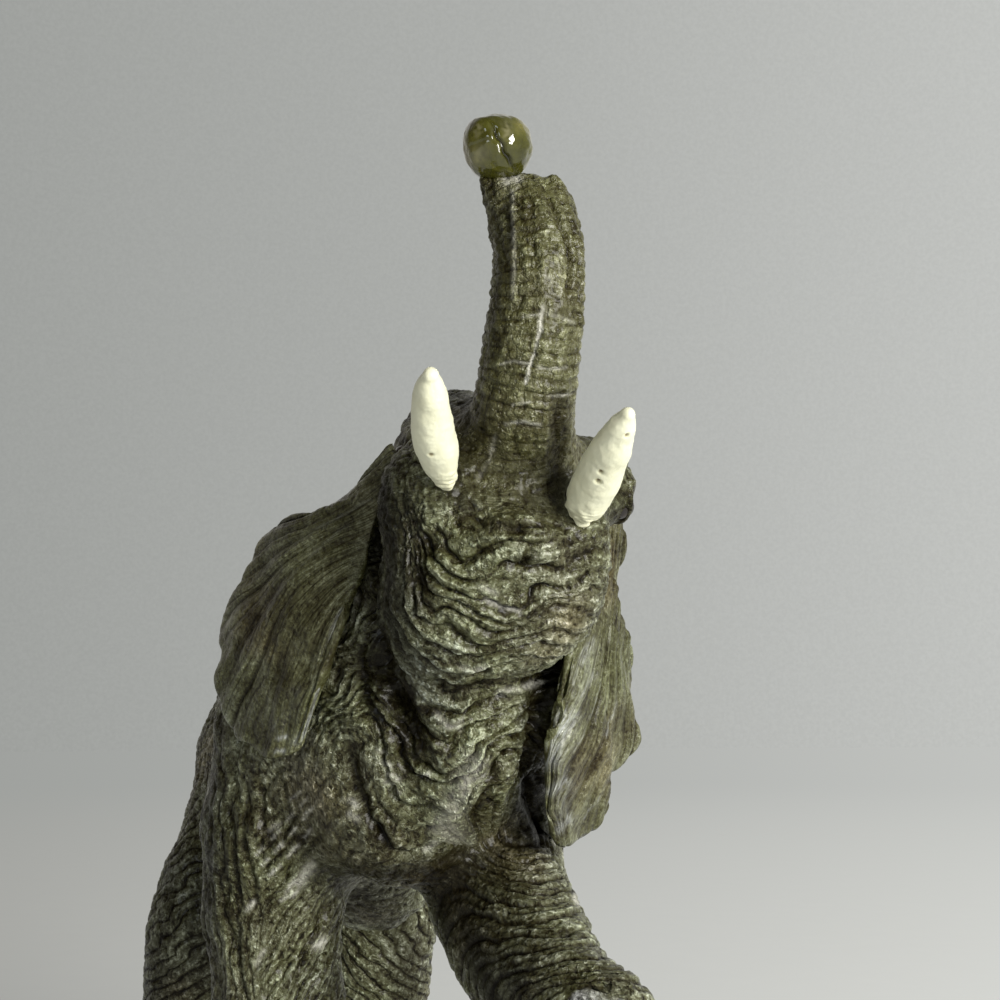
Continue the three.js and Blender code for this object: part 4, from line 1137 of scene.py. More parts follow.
def chart(ob, base, flat):
    """A map of six views from the sides, so that the piece lies open for painting."""
    me = ob.data
    n = len(base)
    co = np.concatenate([base, np.tile(base.mean(0), (len(me.vertices) - n, 1))])
    nr = np.concatenate([flat, np.tile([0, 0, 1.0], (len(me.vertices) - n, 1))])
    starts = np.empty(len(me.polygons), np.int32)
    me.polygons.foreach_get("loop_start", starts)
    sizes = np.empty(len(me.polygons), np.int32)
    me.polygons.foreach_get("loop_total", sizes)
    vid = np.empty(len(me.loops), np.int32)
    me.loops.foreach_get("vertex_index", vid)
    face = np.repeat(np.arange(len(starts)), sizes)
    mean = np.stack([np.bincount(face, nr[vid, i], len(starts)) for i in range(3)], 1)
    axis = np.abs(mean).argmax(1)
    side = (mean[np.arange(len(mean)), axis] > 0).astype(int)
    which = (axis * 2 + side)[face]
    lo, hi = co[:n].min(0), co[:n].max(0)
    s = (co - lo) / (hi - lo).max()
    uv = np.zeros((len(vid), 2))
    for k in range(6):
        a = k // 2
        m = which == k
        u, v = s[vid[m]][:, (a + 1) % 3], s[vid[m]][:, (a + 2) % 3]
        uv[m, 0] = (u * 0.94 + 0.03 + (k % 3)) / 3
        uv[m, 1] = (v * 0.94 + 0.03) / 2 * 1.0 + (k // 3) * 0.5
    layer = me.uv_layers.new(name="OFBake")
    layer.data.foreach_set("uv", uv.astype(np.float32).ravel())


# ------------------------------------------------------------- ears and lofts
EAR_RIGHT = dict(
    edge=[[-11.14, -52.82, 131.31], [-13.6, -47.08, 128.16], [-16.16, -41.23, 124.54],
          [-18.93, -35.55, 122.41], [-21.31, -31.18, 122.06], [-23.28, -27.64, 121.93],
          [-25.26, -24.08, 120.42], [-26.95, -20.66, 117.83], [-28.12, -17.31, 113.28],
          [-29.84, -13.84, 109.18], [-31.39, -11.52, 103.88], [-30.65, -12.99, 100.16],
          [-31.54, -11.84, 95.87], [-30.65, -13.61, 91.02], [-28.85, -16.99, 86.09],
          [-26.76, -20.68, 84.94], [-24.86, -23.41, 82.98], [-22.56, -27.79, 82.88],
          [-20.78, -31.54, 84.05], [-20.45, -33.15, 87.11], [-20.1, -35.05, 92.38],
          [-19.6, -37.2, 99.2], [-18.5, -39.35, 105.67]],
    root=[[-10.74, -53.8, 128.62], [-15.0, -42.55, 109.36]])
EAR_LEFT = dict(
    edge=[[27.58, -46.77, 125.6], [30.95, -43.76, 123.46], [33.18, -41.66, 118.97],
          [33.04, -40.21, 115.83], [31.5, -40.54, 110.89], [35.73, -36.09, 104.75],
          [38.32, -32.86, 99.17], [38.39, -31.67, 93.23], [41.24, -28.74, 86.92],
          [39.65, -29.48, 83.23], [35.61, -31.83, 80.35], [33.01, -33.33, 78.87],
          [34.38, -31.85, 74.19], [31.76, -33.37, 70.93], [27.54, -36.17, 69.2],
          [22.55, -40.65, 68.17], [18.97, -43.35, 69.57], [16.89, -45.99, 73.74],
          [15.75, -48.03, 79.36], [16.13, -48.89, 84.89], [17.6, -49.18, 89.81],
          [19.85, -48.9, 94.8], [21.95, -48.66, 101]],
    root=[[24.75, -49.8, 124.15], [20.22, -51.59, 106.13]])
EAR_OUT = np.array([-0.3378, -0.9281, -0.1564])


def arc_even(P, n):
    d = np.concatenate([[0], np.cumsum(np.linalg.norm(np.diff(P, axis=0), axis=1))])
    t = np.linspace(0, d[-1], n)
    return np.stack([np.interp(t, d, P[:, i]) for i in range(3)], 1)


class Sheet:
    """Fold count over a sheet, from valleys given in picture places."""

    def __init__(self, valleys):
        P, v = [], []
        for value, poly in valleys:
            q = every(poly, 16.0)
            P.append(q)
            v += [value] * len(q)
        self.P = P = np.concatenate(P) / 100.0
        n = len(P)
        d = np.linalg.norm(P[:, None] - P[None], axis=2)
        K = self.kernel(d) + 0.02 * np.eye(n)
        L = np.concatenate([P, np.ones((n, 1))], 1)
        A = np.block([[K, L], [L.T, np.zeros((3, 3))]])
        s = np.linalg.lstsq(A, np.concatenate([np.array(v, float), np.zeros(3)]), rcond=None)[0]
        self.w, self.c = s[:n], s[n:]

    @staticmethod
    def kernel(d):
        return d * d * np.log(np.maximum(d, 1e-6))

    def __call__(self, X):
        q = X - VIEW_POINT
        d = q @ FWD
        p = np.stack([500 + FOCAL * (q @ RIGHT) / d, 500 - FOCAL * (q @ UP) / d], 1) / 100.0
        out = np.empty(len(p))
        for i in range(0, len(p), 20000):
            x = p[i:i + 20000]
            r = np.linalg.norm(x[:, None] - self.P[None], axis=2)
            out[i:i + 20000] = self.kernel(r) @ self.w + x @ self.c[:2] + self.c[2]
        return out


EAR_FOLDS_RIGHT = [
    (0, [(395, 452), (345, 497), (300, 520)]),
    (1, [(392, 470), (350, 505), (310, 526), (262, 546)]),
    (2, [(386, 490), (340, 520), (300, 540), (250, 580)]),
    (3, [(378, 512), (330, 534), (285, 562), (245, 600), (225, 625)]),
    (4, [(372, 530), (330, 549), (293, 574), (262, 610), (240, 650), (222, 690)]),
    (5, [(368, 548), (335, 560), (305, 585), (283, 620), (262, 665), (240, 715)]),
    (6, [(364, 565), (335, 580), (308, 612), (289, 650), (272, 700), (258, 745)]),
    (7, [(362, 580), (340, 600), (318, 640), (300, 690), (285, 750)]),
    (8, [(360, 595), (345, 612), (328, 655), (318, 690), (305, 735)]),
]
EAR_FOLDS_LEFT = [
    (0, [(572, 640), (556, 690), (542, 735), (540, 790), (548, 838)]),
    (1, [(590, 625), (575, 665), (560, 700), (545, 735)]),
    (2, [(598, 632), (588, 680), (572, 720), (548, 765)]),
    (3, [(604, 640), (598, 690), (584, 740), (560, 785), (546, 810)]),
    (4, [(609, 650), (607, 700), (596, 750), (578, 800), (560, 835)]),
    (5, [(614, 655), (617, 700), (610, 745), (594, 790), (580, 832)]),
    (6, [(620, 660), (627, 700), (622, 745), (608, 775), (600, 800)]),
    (7, [(626, 650), (634, 690), (636, 725)]),
]


# Painted highlights, glints and sheen on the ears: half width in px, strength, picture places.
PAINTED_HIGHLIGHT_LEFT = [
    (9.0, 1.0, [(566, 716), (557, 738), (549, 760)]), (4.0, 0.5, [(588, 640), (578, 662)]),
    (5.0, 0.45, [(588, 674), (572, 696)]), (4.5, 0.7, [(563, 780), (551, 792)]), (4.5, 0.75, [(568, 818), (557, 829)]),
    (1.4, 0.6, [(580, 648), (572, 672), (569, 683)]), (1.0, 0.55, [(598, 685), (591, 704), (584, 723)]),
    (0.9, 0.6, [(615, 702), (605, 723), (602, 736)]), (0.9, 0.45, [(598, 795), (593, 804), (581, 819)]),
    (0.9, 0.4, [(586, 716), (578, 740), (568, 762)]), (8.0, 0.22, [(588, 650), (574, 700), (560, 760), (560, 820)]),
]
PAINTED_HIGHLIGHT_RIGHT = [
    (2.1, 0.75, [(344, 610), (336, 630), (327, 658), (322, 677), (319, 694), (310, 716), (301, 738)]),
    (3.4, 0.95, [(322, 679), (319, 694)]), (3.6, 0.95, [(303, 733), (299, 742)]), (2.4, 0.85, [(281, 738), (286, 736)]),
    (2.4, 0.75, [(278, 751), (284, 751)]), (1.4, 0.16, [(374, 499), (345, 516), (316, 533), (285, 552), (262, 572)]),
    (1.4, 0.15, [(352, 524), (318, 552), (290, 586), (276, 606), (268, 634)]), (1.3, 0.2, [(276, 728), (286, 712)]),
    (7.0, 0.10, [(300, 690), (285, 730)]),
]


def ear(name, table, seed, folds):
    n, m = (150, 50) if not FINE else (330, 100)
    edge = arc_even(spline(table["edge"], 10), n)
    a, b = np.array(table["root"])
    t = np.linspace(0, 1, n)[:, None]
    s = (np.linspace(0, 1, m)[None] ** 0.92)
    root = a * (1 - t) + b * t
    lift = 3.2 * np.sin(np.pi * s) * np.sin(np.pi * (0.08 + 0.84 * t)) + 0.9 * np.sin(t * 37) * s * s
    mid = root[:, None] * (1 - s[..., None]) + edge[:, None] * s[..., None] + lift[..., None] * EAR_OUT
    flat = mid.reshape(-1, 3)
    TT = np.broadcast_to(t, (n, m)).ravel()
    SS = np.broadcast_to(s, (n, m)).ravel()
    count = Sheet(folds)(flat)
    warp = noise(np.stack([count * 0.9 + seed, SS * 2.5, TT * 0 + seed], 1))
    warp2 = noise(np.stack([count * 3.0 + seed, SS * 6, TT * 0 + 5.5 + seed], 1))
    depth = smooth(noise(np.stack([count * 0.7 + 3 * seed, SS * 1.6, TT * 0 + 9.1], 1)), -0.55, 0.45)
    c1 = count + 0.30 * warp
    c2 = 2.6 * count + 0.9 * warp + 0.25 * warp2
    c3 = 6.3 * count + 1.5 * warp + 0.8 * warp2
    wide, thin, hair = fold(c1, 0.8), fold(c2, 0.7), fold(c3, 0.9)
    body = noise(flat / 10.0 + seed) * 1.1 + noise(flat / 4.0 + 2 * seed) * 0.25
    veil = smooth(SS, 0.04, 0.5)
    du = np.gradient(mid, axis=0)
    dv = np.gradient(mid, axis=1)
    N = np.cross(du, dv).reshape(-1, 3)
    N /= np.maximum(np.linalg.norm(N, axis=1), 1e-9)[:, None]
    if (N @ EAR_OUT).mean() < 0:
        N = -N
    both = (0.80 * (wide - 0.6) * (0.35 + 0.65 * depth) + 0.7 * body) * veil
    trim = np.sqrt(np.clip(1 - ((SS - 0.965) / 0.035).clip(0, 1) ** 2, 0, 1))
    ends = np.sqrt(np.clip(1 - ((0.012 - TT) / 0.012).clip(0, 1) ** 2, 0, 1)) \
        * np.sqrt(np.clip(1 - ((TT - 0.988) / 0.012).clip(0, 1) ** 2, 0, 1))
    half = 0.95 * (1 - 0.45 * SS) * trim * ends
    own = (0.26 * (thin - 1) * (0.3 + 0.7 * depth) * (0.35 + 0.65 * veil) + 0.07 * (hair - 1)
           + 0.10 * noise(flat / 1.2 + seed))
    Vf = flat + N * (both + half + own * trim * ends)[:, None]
    own_b = 0.26 * (fold(2.3 * count + 0.9 * warp2 + 0.4, 0.7) - 1) + 0.14 * noise(flat / 1.3 + 30 + seed)
    Vb = flat + N * (both - half - own_b * trim * ends)[:, None]
    idx = np.arange(n * m).reshape(n, m)
    bid = idx + n * m
    bid[:, -1] = idx[:, -1]
    bid[0], bid[-1] = idx[0], idx[-1]
    V = np.concatenate([Vf, Vb])
    q = lambda I: np.stack([I[:-1, :-1].ravel(), I[1:, :-1].ravel(), I[1:, 1:].ravel(), I[:-1, 1:].ravel()], 1)
    Qf, Qb = q(idx), q(bid)[:, ::-1]
    strip = np.stack([idx[:-1, 0], bid[:-1, 0], bid[1:, 0], idx[1:, 0]], 1)
    strip = np.array([x for x in strip if len(set(x.tolist())) == 4])
    corner = np.array([[idx[0, 0], bid[1, 0], idx[1, 0]], [idx[-2, 0], bid[-2, 0], idx[-1, 0]]])
    Q = np.concatenate([Qf, Qb, strip])
    fn = np.cross(V[Qf[:, 2]] - V[Qf[:, 0]], V[Qf[:, 3]] - V[Qf[:, 1]])
    if (fn @ EAR_OUT).mean() < 0:
        Q, corner = Q[:, ::-1], corner[:, ::-1]
    grey = 0.60 + 0.20 * noise(flat / 6.0 + 5 * seed)
    cav_f = grey + 0.22 * (wide - 0.7) * (0.3 + 0.7 * depth) + 0.22 * (thin - 0.7) * depth + 0.10 * (hair - 0.7)
    cav_f = cav_f + 0.15 * smooth(SS, 0.93, 0.99)
    cav = np.concatenate([cav_f, grey + 0.6 * (own_b + 0.1)])
    N2 = normals(V, Q)
    uv_t = np.concatenate([TT, TT])
    uv_s = np.concatenate([SS, SS])
    used = np.zeros(len(V), bool)
    used[Q.ravel()] = True
    back = np.cumsum(used) - 1
    two = lambda f, g: np.concatenate([f, g])[used]
    zero = np.zeros(len(flat))
    place = picture(flat)
    place = place + 1.6 * noise(flat / 2.2)[:, None]
    # painted highlights: glints and sheen along the listed strokes
    painted_highlight = zero.copy()
    for width, strength, poly in (PAINTED_HIGHLIGHT_LEFT if table is EAR_LEFT else PAINTED_HIGHLIGHT_RIGHT):
        d = to_line(place, np.array(poly, float))
        painted_highlight = np.maximum(painted_highlight, strength * np.exp(-(d / width) ** 2))
    at = dict(cav=np.clip(cav, 0, 1)[used], flow=two(1.3 * c1, 1.3 * c1), painted_highlight=two(painted_highlight, zero), f1=two(c1, c1), w1=two(0.55 * depth * veil, 0.3 * depth * veil),
              f2=two(c2, 2.3 * count + 0.9 * warp2 + 0.4), w2=two(0.45 * depth, 0.4 * depth),
              f3=two(c3, c3), w3=two(0.25 + zero, 0.2 + zero))
    ob = build(name, V[used], [back[Q], back[corner]], at, N2[used])
    vid = np.concatenate([back[Q].ravel(), back[corner].ravel()])
    us, vs = uv_t[used][vid], uv_s[used][vid]
    sidef = np.concatenate([np.zeros(4 * len(Qf)), np.ones(4 * (len(Q) - len(Qf)) + 6)])
    layer = ob.data.uv_layers.new(name="OFBake")
    uv = np.stack([us * 0.98 + 0.01, vs * 0.48 + 0.01 + 0.5 * sidef], 1)
    layer.data.foreach_set("uv", uv.astype(np.float32).ravel())
    return ob


def loft(name, table, around, steps, height, attr):
    """A round drawn piece; height(X, length, angle) gives relief and openness."""
    P = spline(table, steps)
    c, r = P[:, :3], np.maximum(P[:, 3], 0.05)
    # round both ends off
    T = np.gradient(c, axis=0)
    T /= np.linalg.norm(T, axis=1)[:, None]
    L = np.concatenate([[0], np.cumsum(np.linalg.norm(np.diff(c, axis=0), axis=1))])
    caps = []
    for e, sgn in ((0, -1), (-1, 1)):
        k = np.linspace(0, math.pi / 2, 9)[1:]
        caps.append((c[e] + sgn * T[e] * (r[e] * np.sin(k))[:, None], r[e] * np.cos(k), np.repeat(T[e][None], 8, 0),
                     L[e] + sgn * r[e] * np.sin(k)))
    c = np.concatenate([caps[0][0][::-1], c, caps[1][0]])
    r = np.concatenate([caps[0][1][::-1], r, caps[1][1]])
    T = np.concatenate([caps[0][2], T, caps[1][2]])
    L = np.concatenate([caps[0][3][::-1], L, caps[1][3]])
    u = np.cross(T, (1.0, 0.2, 0))
    u /= np.linalg.norm(u, axis=1)[:, None]
    w = np.cross(T, u)
    a = np.arange(around) * 2 * math.pi / around
    dirs = u[:, None] * np.cos(a)[None, :, None] + w[:, None] * np.sin(a)[None, :, None]
    X = c[1:-1, None] + dirs[1:-1] * r[1:-1, None, None]
    n = len(X)
    flat = X.reshape(-1, 3)
    N = dirs[1:-1].reshape(-1, 3)
    LL = np.repeat(L[1:-1], around)
    AA = np.tile(a, n)
    h, cav = height(flat, LL, AA)
    taper = np.clip(np.repeat(r[1:-1], around) / 0.8, 0, 1)
    V = np.concatenate([flat + N * (h * taper)[:, None], c[:1], c[-1:]])
    cav = np.concatenate([cav, [cav[:around].mean(), cav[-around:].mean()]])
    I = np.arange(n * around).reshape(n, around)
    J = np.roll(I, -1, 1)
    Q = np.stack([I[:-1].ravel(), J[:-1].ravel(), J[1:].ravel(), I[1:].ravel()], 1)
    lo, hi = n * around, n * around + 1
    Tr = np.concatenate([np.stack([np.full(around, lo), J[0], I[0]], 1), np.stack([np.full(around, hi), I[-1], J[-1]], 1)])
    fn = np.cross(V[Q[:, 2]] - V[Q[:, 0]], V[Q[:, 3]] - V[Q[:, 1]])
    if np.einsum("ij,ij->i", fn, N[Q[:, 0]]).mean() < 0:
        Q, Tr = Q[:, ::-1], Tr[:, ::-1]
    ob = build(name, V, [Q, Tr], {attr: np.clip(cav, 0, 1)})
    vid = np.concatenate([Q.ravel(), Tr.ravel()])
    row = np.concatenate([np.repeat(np.arange(n), around), [0, n - 1]])
    col = np.concatenate([np.tile(np.arange(around), n), [0, 0]])
    vs = row[vid] / (n - 1)
    us = col[vid] / around
    # close the seam of the map: corners past the last column read as 1
    k = 0
    for blk in (Q, Tr):
        m = blk.shape[1]
        part = us[k:k + blk.size].reshape(-1, m)
        wrap = (part.max(1) - part.min(1)) > 0.5
        part[wrap] = np.where(part[wrap] < 0.5, part[wrap] + 1, part[wrap])
        us[k:k + blk.size] = part.ravel()
        k += blk.size
    layer = ob.data.uv_layers.new(name="OFBake")
    uv = np.stack([us * 0.97 + 0.01, vs * 0.98 + 0.01], 1)
    layer.data.foreach_set("uv", uv.astype(np.float32).ravel())
    return ob


TUSK_RIGHT = [[-6.98, -66.52, 122.43, 0.9], [-7.96, -68.08, 124.21, 2.1],
              [-9.7, -70.62, 127.07, 3.0], [-11.43, -73.65, 129.61, 3.1], [-13.04, -77.3, 132.37, 2.75],
              [-13.95, -80.3, 134.3, 2.1], [-14.5, -82.1, 135.3, 1.2]]
TUSK_LEFT = [[13.06, -69.49, 119.15, 1.9], [13.1, -71.3, 120.6, 3.1],
             [13.2, -74.47, 122.79, 3.45], [12.96, -77.96, 124.87, 3.35], [12.53, -82.49, 127.12, 2.85],
             [12.27, -86.3, 129.1, 2.1], [12.08, -88.8, 130.5, 1.1]]
TAIL = [[0, 93, 104, 4.2], [0, 103, 95, 3.4], [0.5, 107, 80, 2.6], [1.5, 105, 64, 2.3],
        [2.5, 102, 52, 3.3], [3, 101, 42, 2.4], [3, 101, 37, 0.8]]


def nearest_on(P, px, py):
    """The loft's surface point that shows at a picture place."""
    pts = spline(P, 12)
    o = VIEW_POINT
    d = ray(px, py, 1.0) - o
    d /= np.linalg.norm(d)
    best = None
    for p in pts:
        t = (p[:3] - o) @ d
        q = o + d * t
        e = np.linalg.norm(q - p[:3])
        if e < p[3]:
            t2 = t - math.sqrt(p[3] ** 2 - e * e)
            if best is None or t2 < best:
                best = t2
    return o + d * (best if best is not None else (pts[len(pts) // 2, :3] - o) @ d)


def tusk(name, table, pits, seed):
    spots = [(nearest_on(table, x, y), r, dep) for x, y, r, dep in pits]

    def height(X, L, A):
        h = 0.22 * noise(X / 3.4 + seed) + 0.07 * noise(X / 1.1 + seed) + 0.03 * noise(X / 0.45 + seed)
        base = smooth(L, 5.5, 0.0)
        h = h + base * (0.22 * (fold(L / 0.9 + 0.5 * noise(X / 2.5), 0.8) - 1) + 0.45 * noise(X / 1.3 + 3 * seed))
        cav = np.ones(len(X)) * 0.8 - 0.25 * base + 0.15 * noise(X / 1.7)
        for p, r, dep in spots:
            d = np.linalg.norm(X - p, axis=1) / r
            g = np.exp(-d ** 4)
            h = h - dep * g
            cav = cav * (1 - g)
        return h, cav
    return loft(name, table, 40 if not FINE else 96, 10 if not FINE else 24, height, "cav")


def tail(name):
    def height(X, L, A):
        tuft = smooth(L, 50, 58)
        rings = fold(L / 2.0 + 0.4 * noise(X / 4), 0.6)
        cord = fold(A * 7 / math.pi + 0.5 * noise(X / 5.0), 0.55)
        strands = fold(A * 11 / math.pi + 0.9 * noise(np.stack([A * 2, A * 0, L / 9], 1)) + 0.05 * L, 0.6)
        h = (1 - tuft) * (0.30 * (rings - 1) + 0.15 * (cord - 1)) + tuft * (0.75 * (strands - 0.6))
        cav = (1 - tuft) * (0.7 * rings + 0.3 * cord) + tuft * strands
        return h + 0.15 * noise(X / 2.2), cav
    return loft(name, TAIL, 64, 14, height, "cav")


def ball(name, centre, r, shape, n=48):
    """A ball with relief; shape(D) gives the height over radius r for unit directions D."""
    pts, quads, uvs = [], [], []
    k = 0
    for axis in range(3):
        for sgn in (-1, 1):
            g = np.tan(np.linspace(-math.pi / 4, math.pi / 4, n))
            A, B = np.meshgrid(g, g, indexing="ij")
            P = np.zeros((n, n, 3))
            P[..., axis] = sgn
            P[..., (axis + 1) % 3] = A
            P[..., (axis + 2) % 3] = B
            I = np.arange(n * n).reshape(n, n) + len(pts) * n * n
            q = np.stack([I[:-1, :-1], I[1:, :-1], I[1:, 1:], I[:-1, 1:]], -1).reshape(-1, 4)
            if sgn < 0:
                q = q[:, ::-1]
            U = np.stack([(A + 1) / 2, (B + 1) / 2], -1) * [0.31, 0.47] + [(k % 3) / 3 + 0.01, (k // 3) / 2 + 0.01]
            uvs.append(U.reshape(-1, 2)[q - len(pts) * n * n].reshape(-1, 2))
            pts.append(P.reshape(-1, 3))
            quads.append(q)
            k += 1
    D = np.concatenate(pts)
    D /= np.linalg.norm(D, axis=1)[:, None]
    key = np.round(D * 1e5).astype(np.int64)
    uniq, first, inv = np.unique(key, axis=0, return_index=True, return_inverse=True)
    inv = inv.ravel()
    Q = inv[np.concatenate(quads)]
    D = D[first]
    h, at = shape(D)
    V = np.asarray(centre, float) + D * (r + h)[:, None]
    ob = build(name, V, [Q], at)
    layer = ob.data.uv_layers.new(name="OFBake")
    layer.data.foreach_set("uv", np.concatenate(uvs).astype(np.float32).ravel())
    return ob


# ------------------------------------------------------------------ materials
def new_material(name):
    mat = bpy.data.materials.new(name)
    mat.use_nodes = True
    nt = mat.node_tree
    nt.nodes.clear()
    out = nt.nodes.new("ShaderNodeOutputMaterial")
    bsdf = nt.nodes.new("ShaderNodeBsdfPrincipled")
    nt.links.new(bsdf.outputs["BSDF"], out.inputs["Surface"])
    return mat, nt, bsdf


def ramp(nt, source, stops):
    n = nt.nodes.new("ShaderNodeValToRGB")
    el = n.color_ramp.elements
    el[0].position, el[0].color = stops[0][0], (*stops[0][1], 1)
    el[1].position, el[1].color = stops[-1][0], (*stops[-1][1], 1)
    for pos, col in stops[1:-1]:
        e = el.new(pos)
        e.color = (*col, 1)
    nt.links.new(source, n.inputs["Fac"])
    return n.outputs["Color"]


def mix(nt, fac, a, b, mode="MIX"):
    n = nt.nodes.new("ShaderNodeMix")
    n.data_type = "RGBA"
    n.blend_type = mode
    ins = [s for s in n.inputs if s.enabled]
    for sock, v in zip(ins, (fac, a, b)):
        if hasattr(v, "links") or isinstance(v, bpy.types.NodeSocket):
            nt.links.new(v, sock)
        elif isinstance(v, (tuple, list)):
            sock.default_value = (*v, 1)
        else:
            sock.default_value = v
    return [s for s in n.outputs if s.enabled][0]


def maths(nt, op, a, b=0.5, clamp=False):
    n = nt.nodes.new("ShaderNodeMath")
    n.operation = op
    n.use_clamp = clamp
    for sock, v in zip(n.inputs, (a, b)):
        if isinstance(v, bpy.types.NodeSocket):
            nt.links.new(v, sock)
        else:
            sock.default_value = v
    return n.outputs[0]


def attribute(nt, name):
    n = nt.nodes.new("ShaderNodeAttribute")
    n.attribute_name = name
    return n.outputs["Fac"]


def noise_node(nt, scale, detail=3.0, rough=0.55, coords=None, stretch=None):
    tc = nt.nodes.new("ShaderNodeTexCoord")
    vec = tc.outputs["Object"]
    if stretch:
        mp = nt.nodes.new("ShaderNodeMapping")
        mp.inputs["Scale"].default_value = stretch
        nt.links.new(vec, mp.inputs["Vector"])
        vec = mp.outputs["Vector"]
    n = nt.nodes.new("ShaderNodeTexNoise")
    n.inputs["Scale"].default_value = scale
    n.inputs["Detail"].default_value = detail
    n.inputs["Roughness"].default_value = rough
    nt.links.new(vec, n.inputs["Vector"])
    return n.outputs["Fac"]


def fold_lines(nt, slots):
    """Dark narrow lines where the recorded fold counts pass whole numbers."""
    total = None
    for k in slots:
        s = maths(nt, "ABSOLUTE", maths(nt, "SINE", maths(nt, "MULTIPLY", attribute(nt, "f%d" % k), math.pi)))
        n = nt.nodes.new("ShaderNodeMapRange")
        n.interpolation_type = "SMOOTHSTEP"
        n.inputs["From Min"].default_value = 0.34
        n.inputs["From Max"].default_value = 0.0
        nt.links.new(s, n.inputs["Value"])
        one = maths(nt, "MULTIPLY", n.outputs["Result"], attribute(nt, "w%d" % k))
        total = one if total is None else maths(nt, "MAXIMUM", total, one)
    return total


def crackle(nt, scale, width, bend, seed=0.0):
    """Net of cracks between small plates: 1 on the cracks."""
    tc = nt.nodes.new("ShaderNodeTexCoord")
    nz = nt.nodes.new("ShaderNodeTexNoise")
    nz.inputs["Scale"].default_value = scale * 0.35
    nz.inputs["Detail"].default_value = 2.0
    nt.links.new(tc.outputs["Object"], nz.inputs["Vector"])
    sub = nt.nodes.new("ShaderNodeVectorMath")
    sub.operation = "MULTIPLY_ADD"
    nt.links.new(nz.outputs["Color"], sub.inputs[0])
    sub.inputs[1].default_value = (bend / scale,) * 3
    nt.links.new(tc.outputs["Object"], sub.inputs[2])
    v = nt.nodes.new("ShaderNodeTexVoronoi")
    v.feature = "DISTANCE_TO_EDGE"
    v.inputs["Scale"].default_value = scale
    v.inputs["Randomness"].default_value = 0.95
    nt.links.new(sub.outputs["Vector"], v.inputs["Vector"])
    n = nt.nodes.new("ShaderNodeMapRange")
    n.interpolation_type = "SMOOTHSTEP"
    n.inputs["From Min"].default_value = width
    n.inputs["From Max"].default_value = 0.0
    nt.links.new(v.outputs["Distance"], n.inputs["Value"])
    return n.outputs["Result"]


def streaks(nt, scale, across, detail=3.0):
    """Noise drawn out along the folds by the recorded flow count."""
    tc = nt.nodes.new("ShaderNodeTexCoord")
    nz = nt.nodes.new("ShaderNodeTexNoise")
    nz.noise_dimensions = "4D"
    nz.inputs["Scale"].default_value = scale
    nz.inputs["Detail"].default_value = detail
    nz.inputs["Roughness"].default_value = 0.6
    nt.links.new(tc.outputs["Object"], nz.inputs["Vector"])
    nt.links.new(maths(nt, "MULTIPLY", attribute(nt, "flow"), across / scale), nz.inputs["W"])
    return nz.outputs["Fac"]


def centred(nt, value, share):
    return maths(nt, "MULTIPLY", maths(nt, "SUBTRACT", value, 0.5), share)


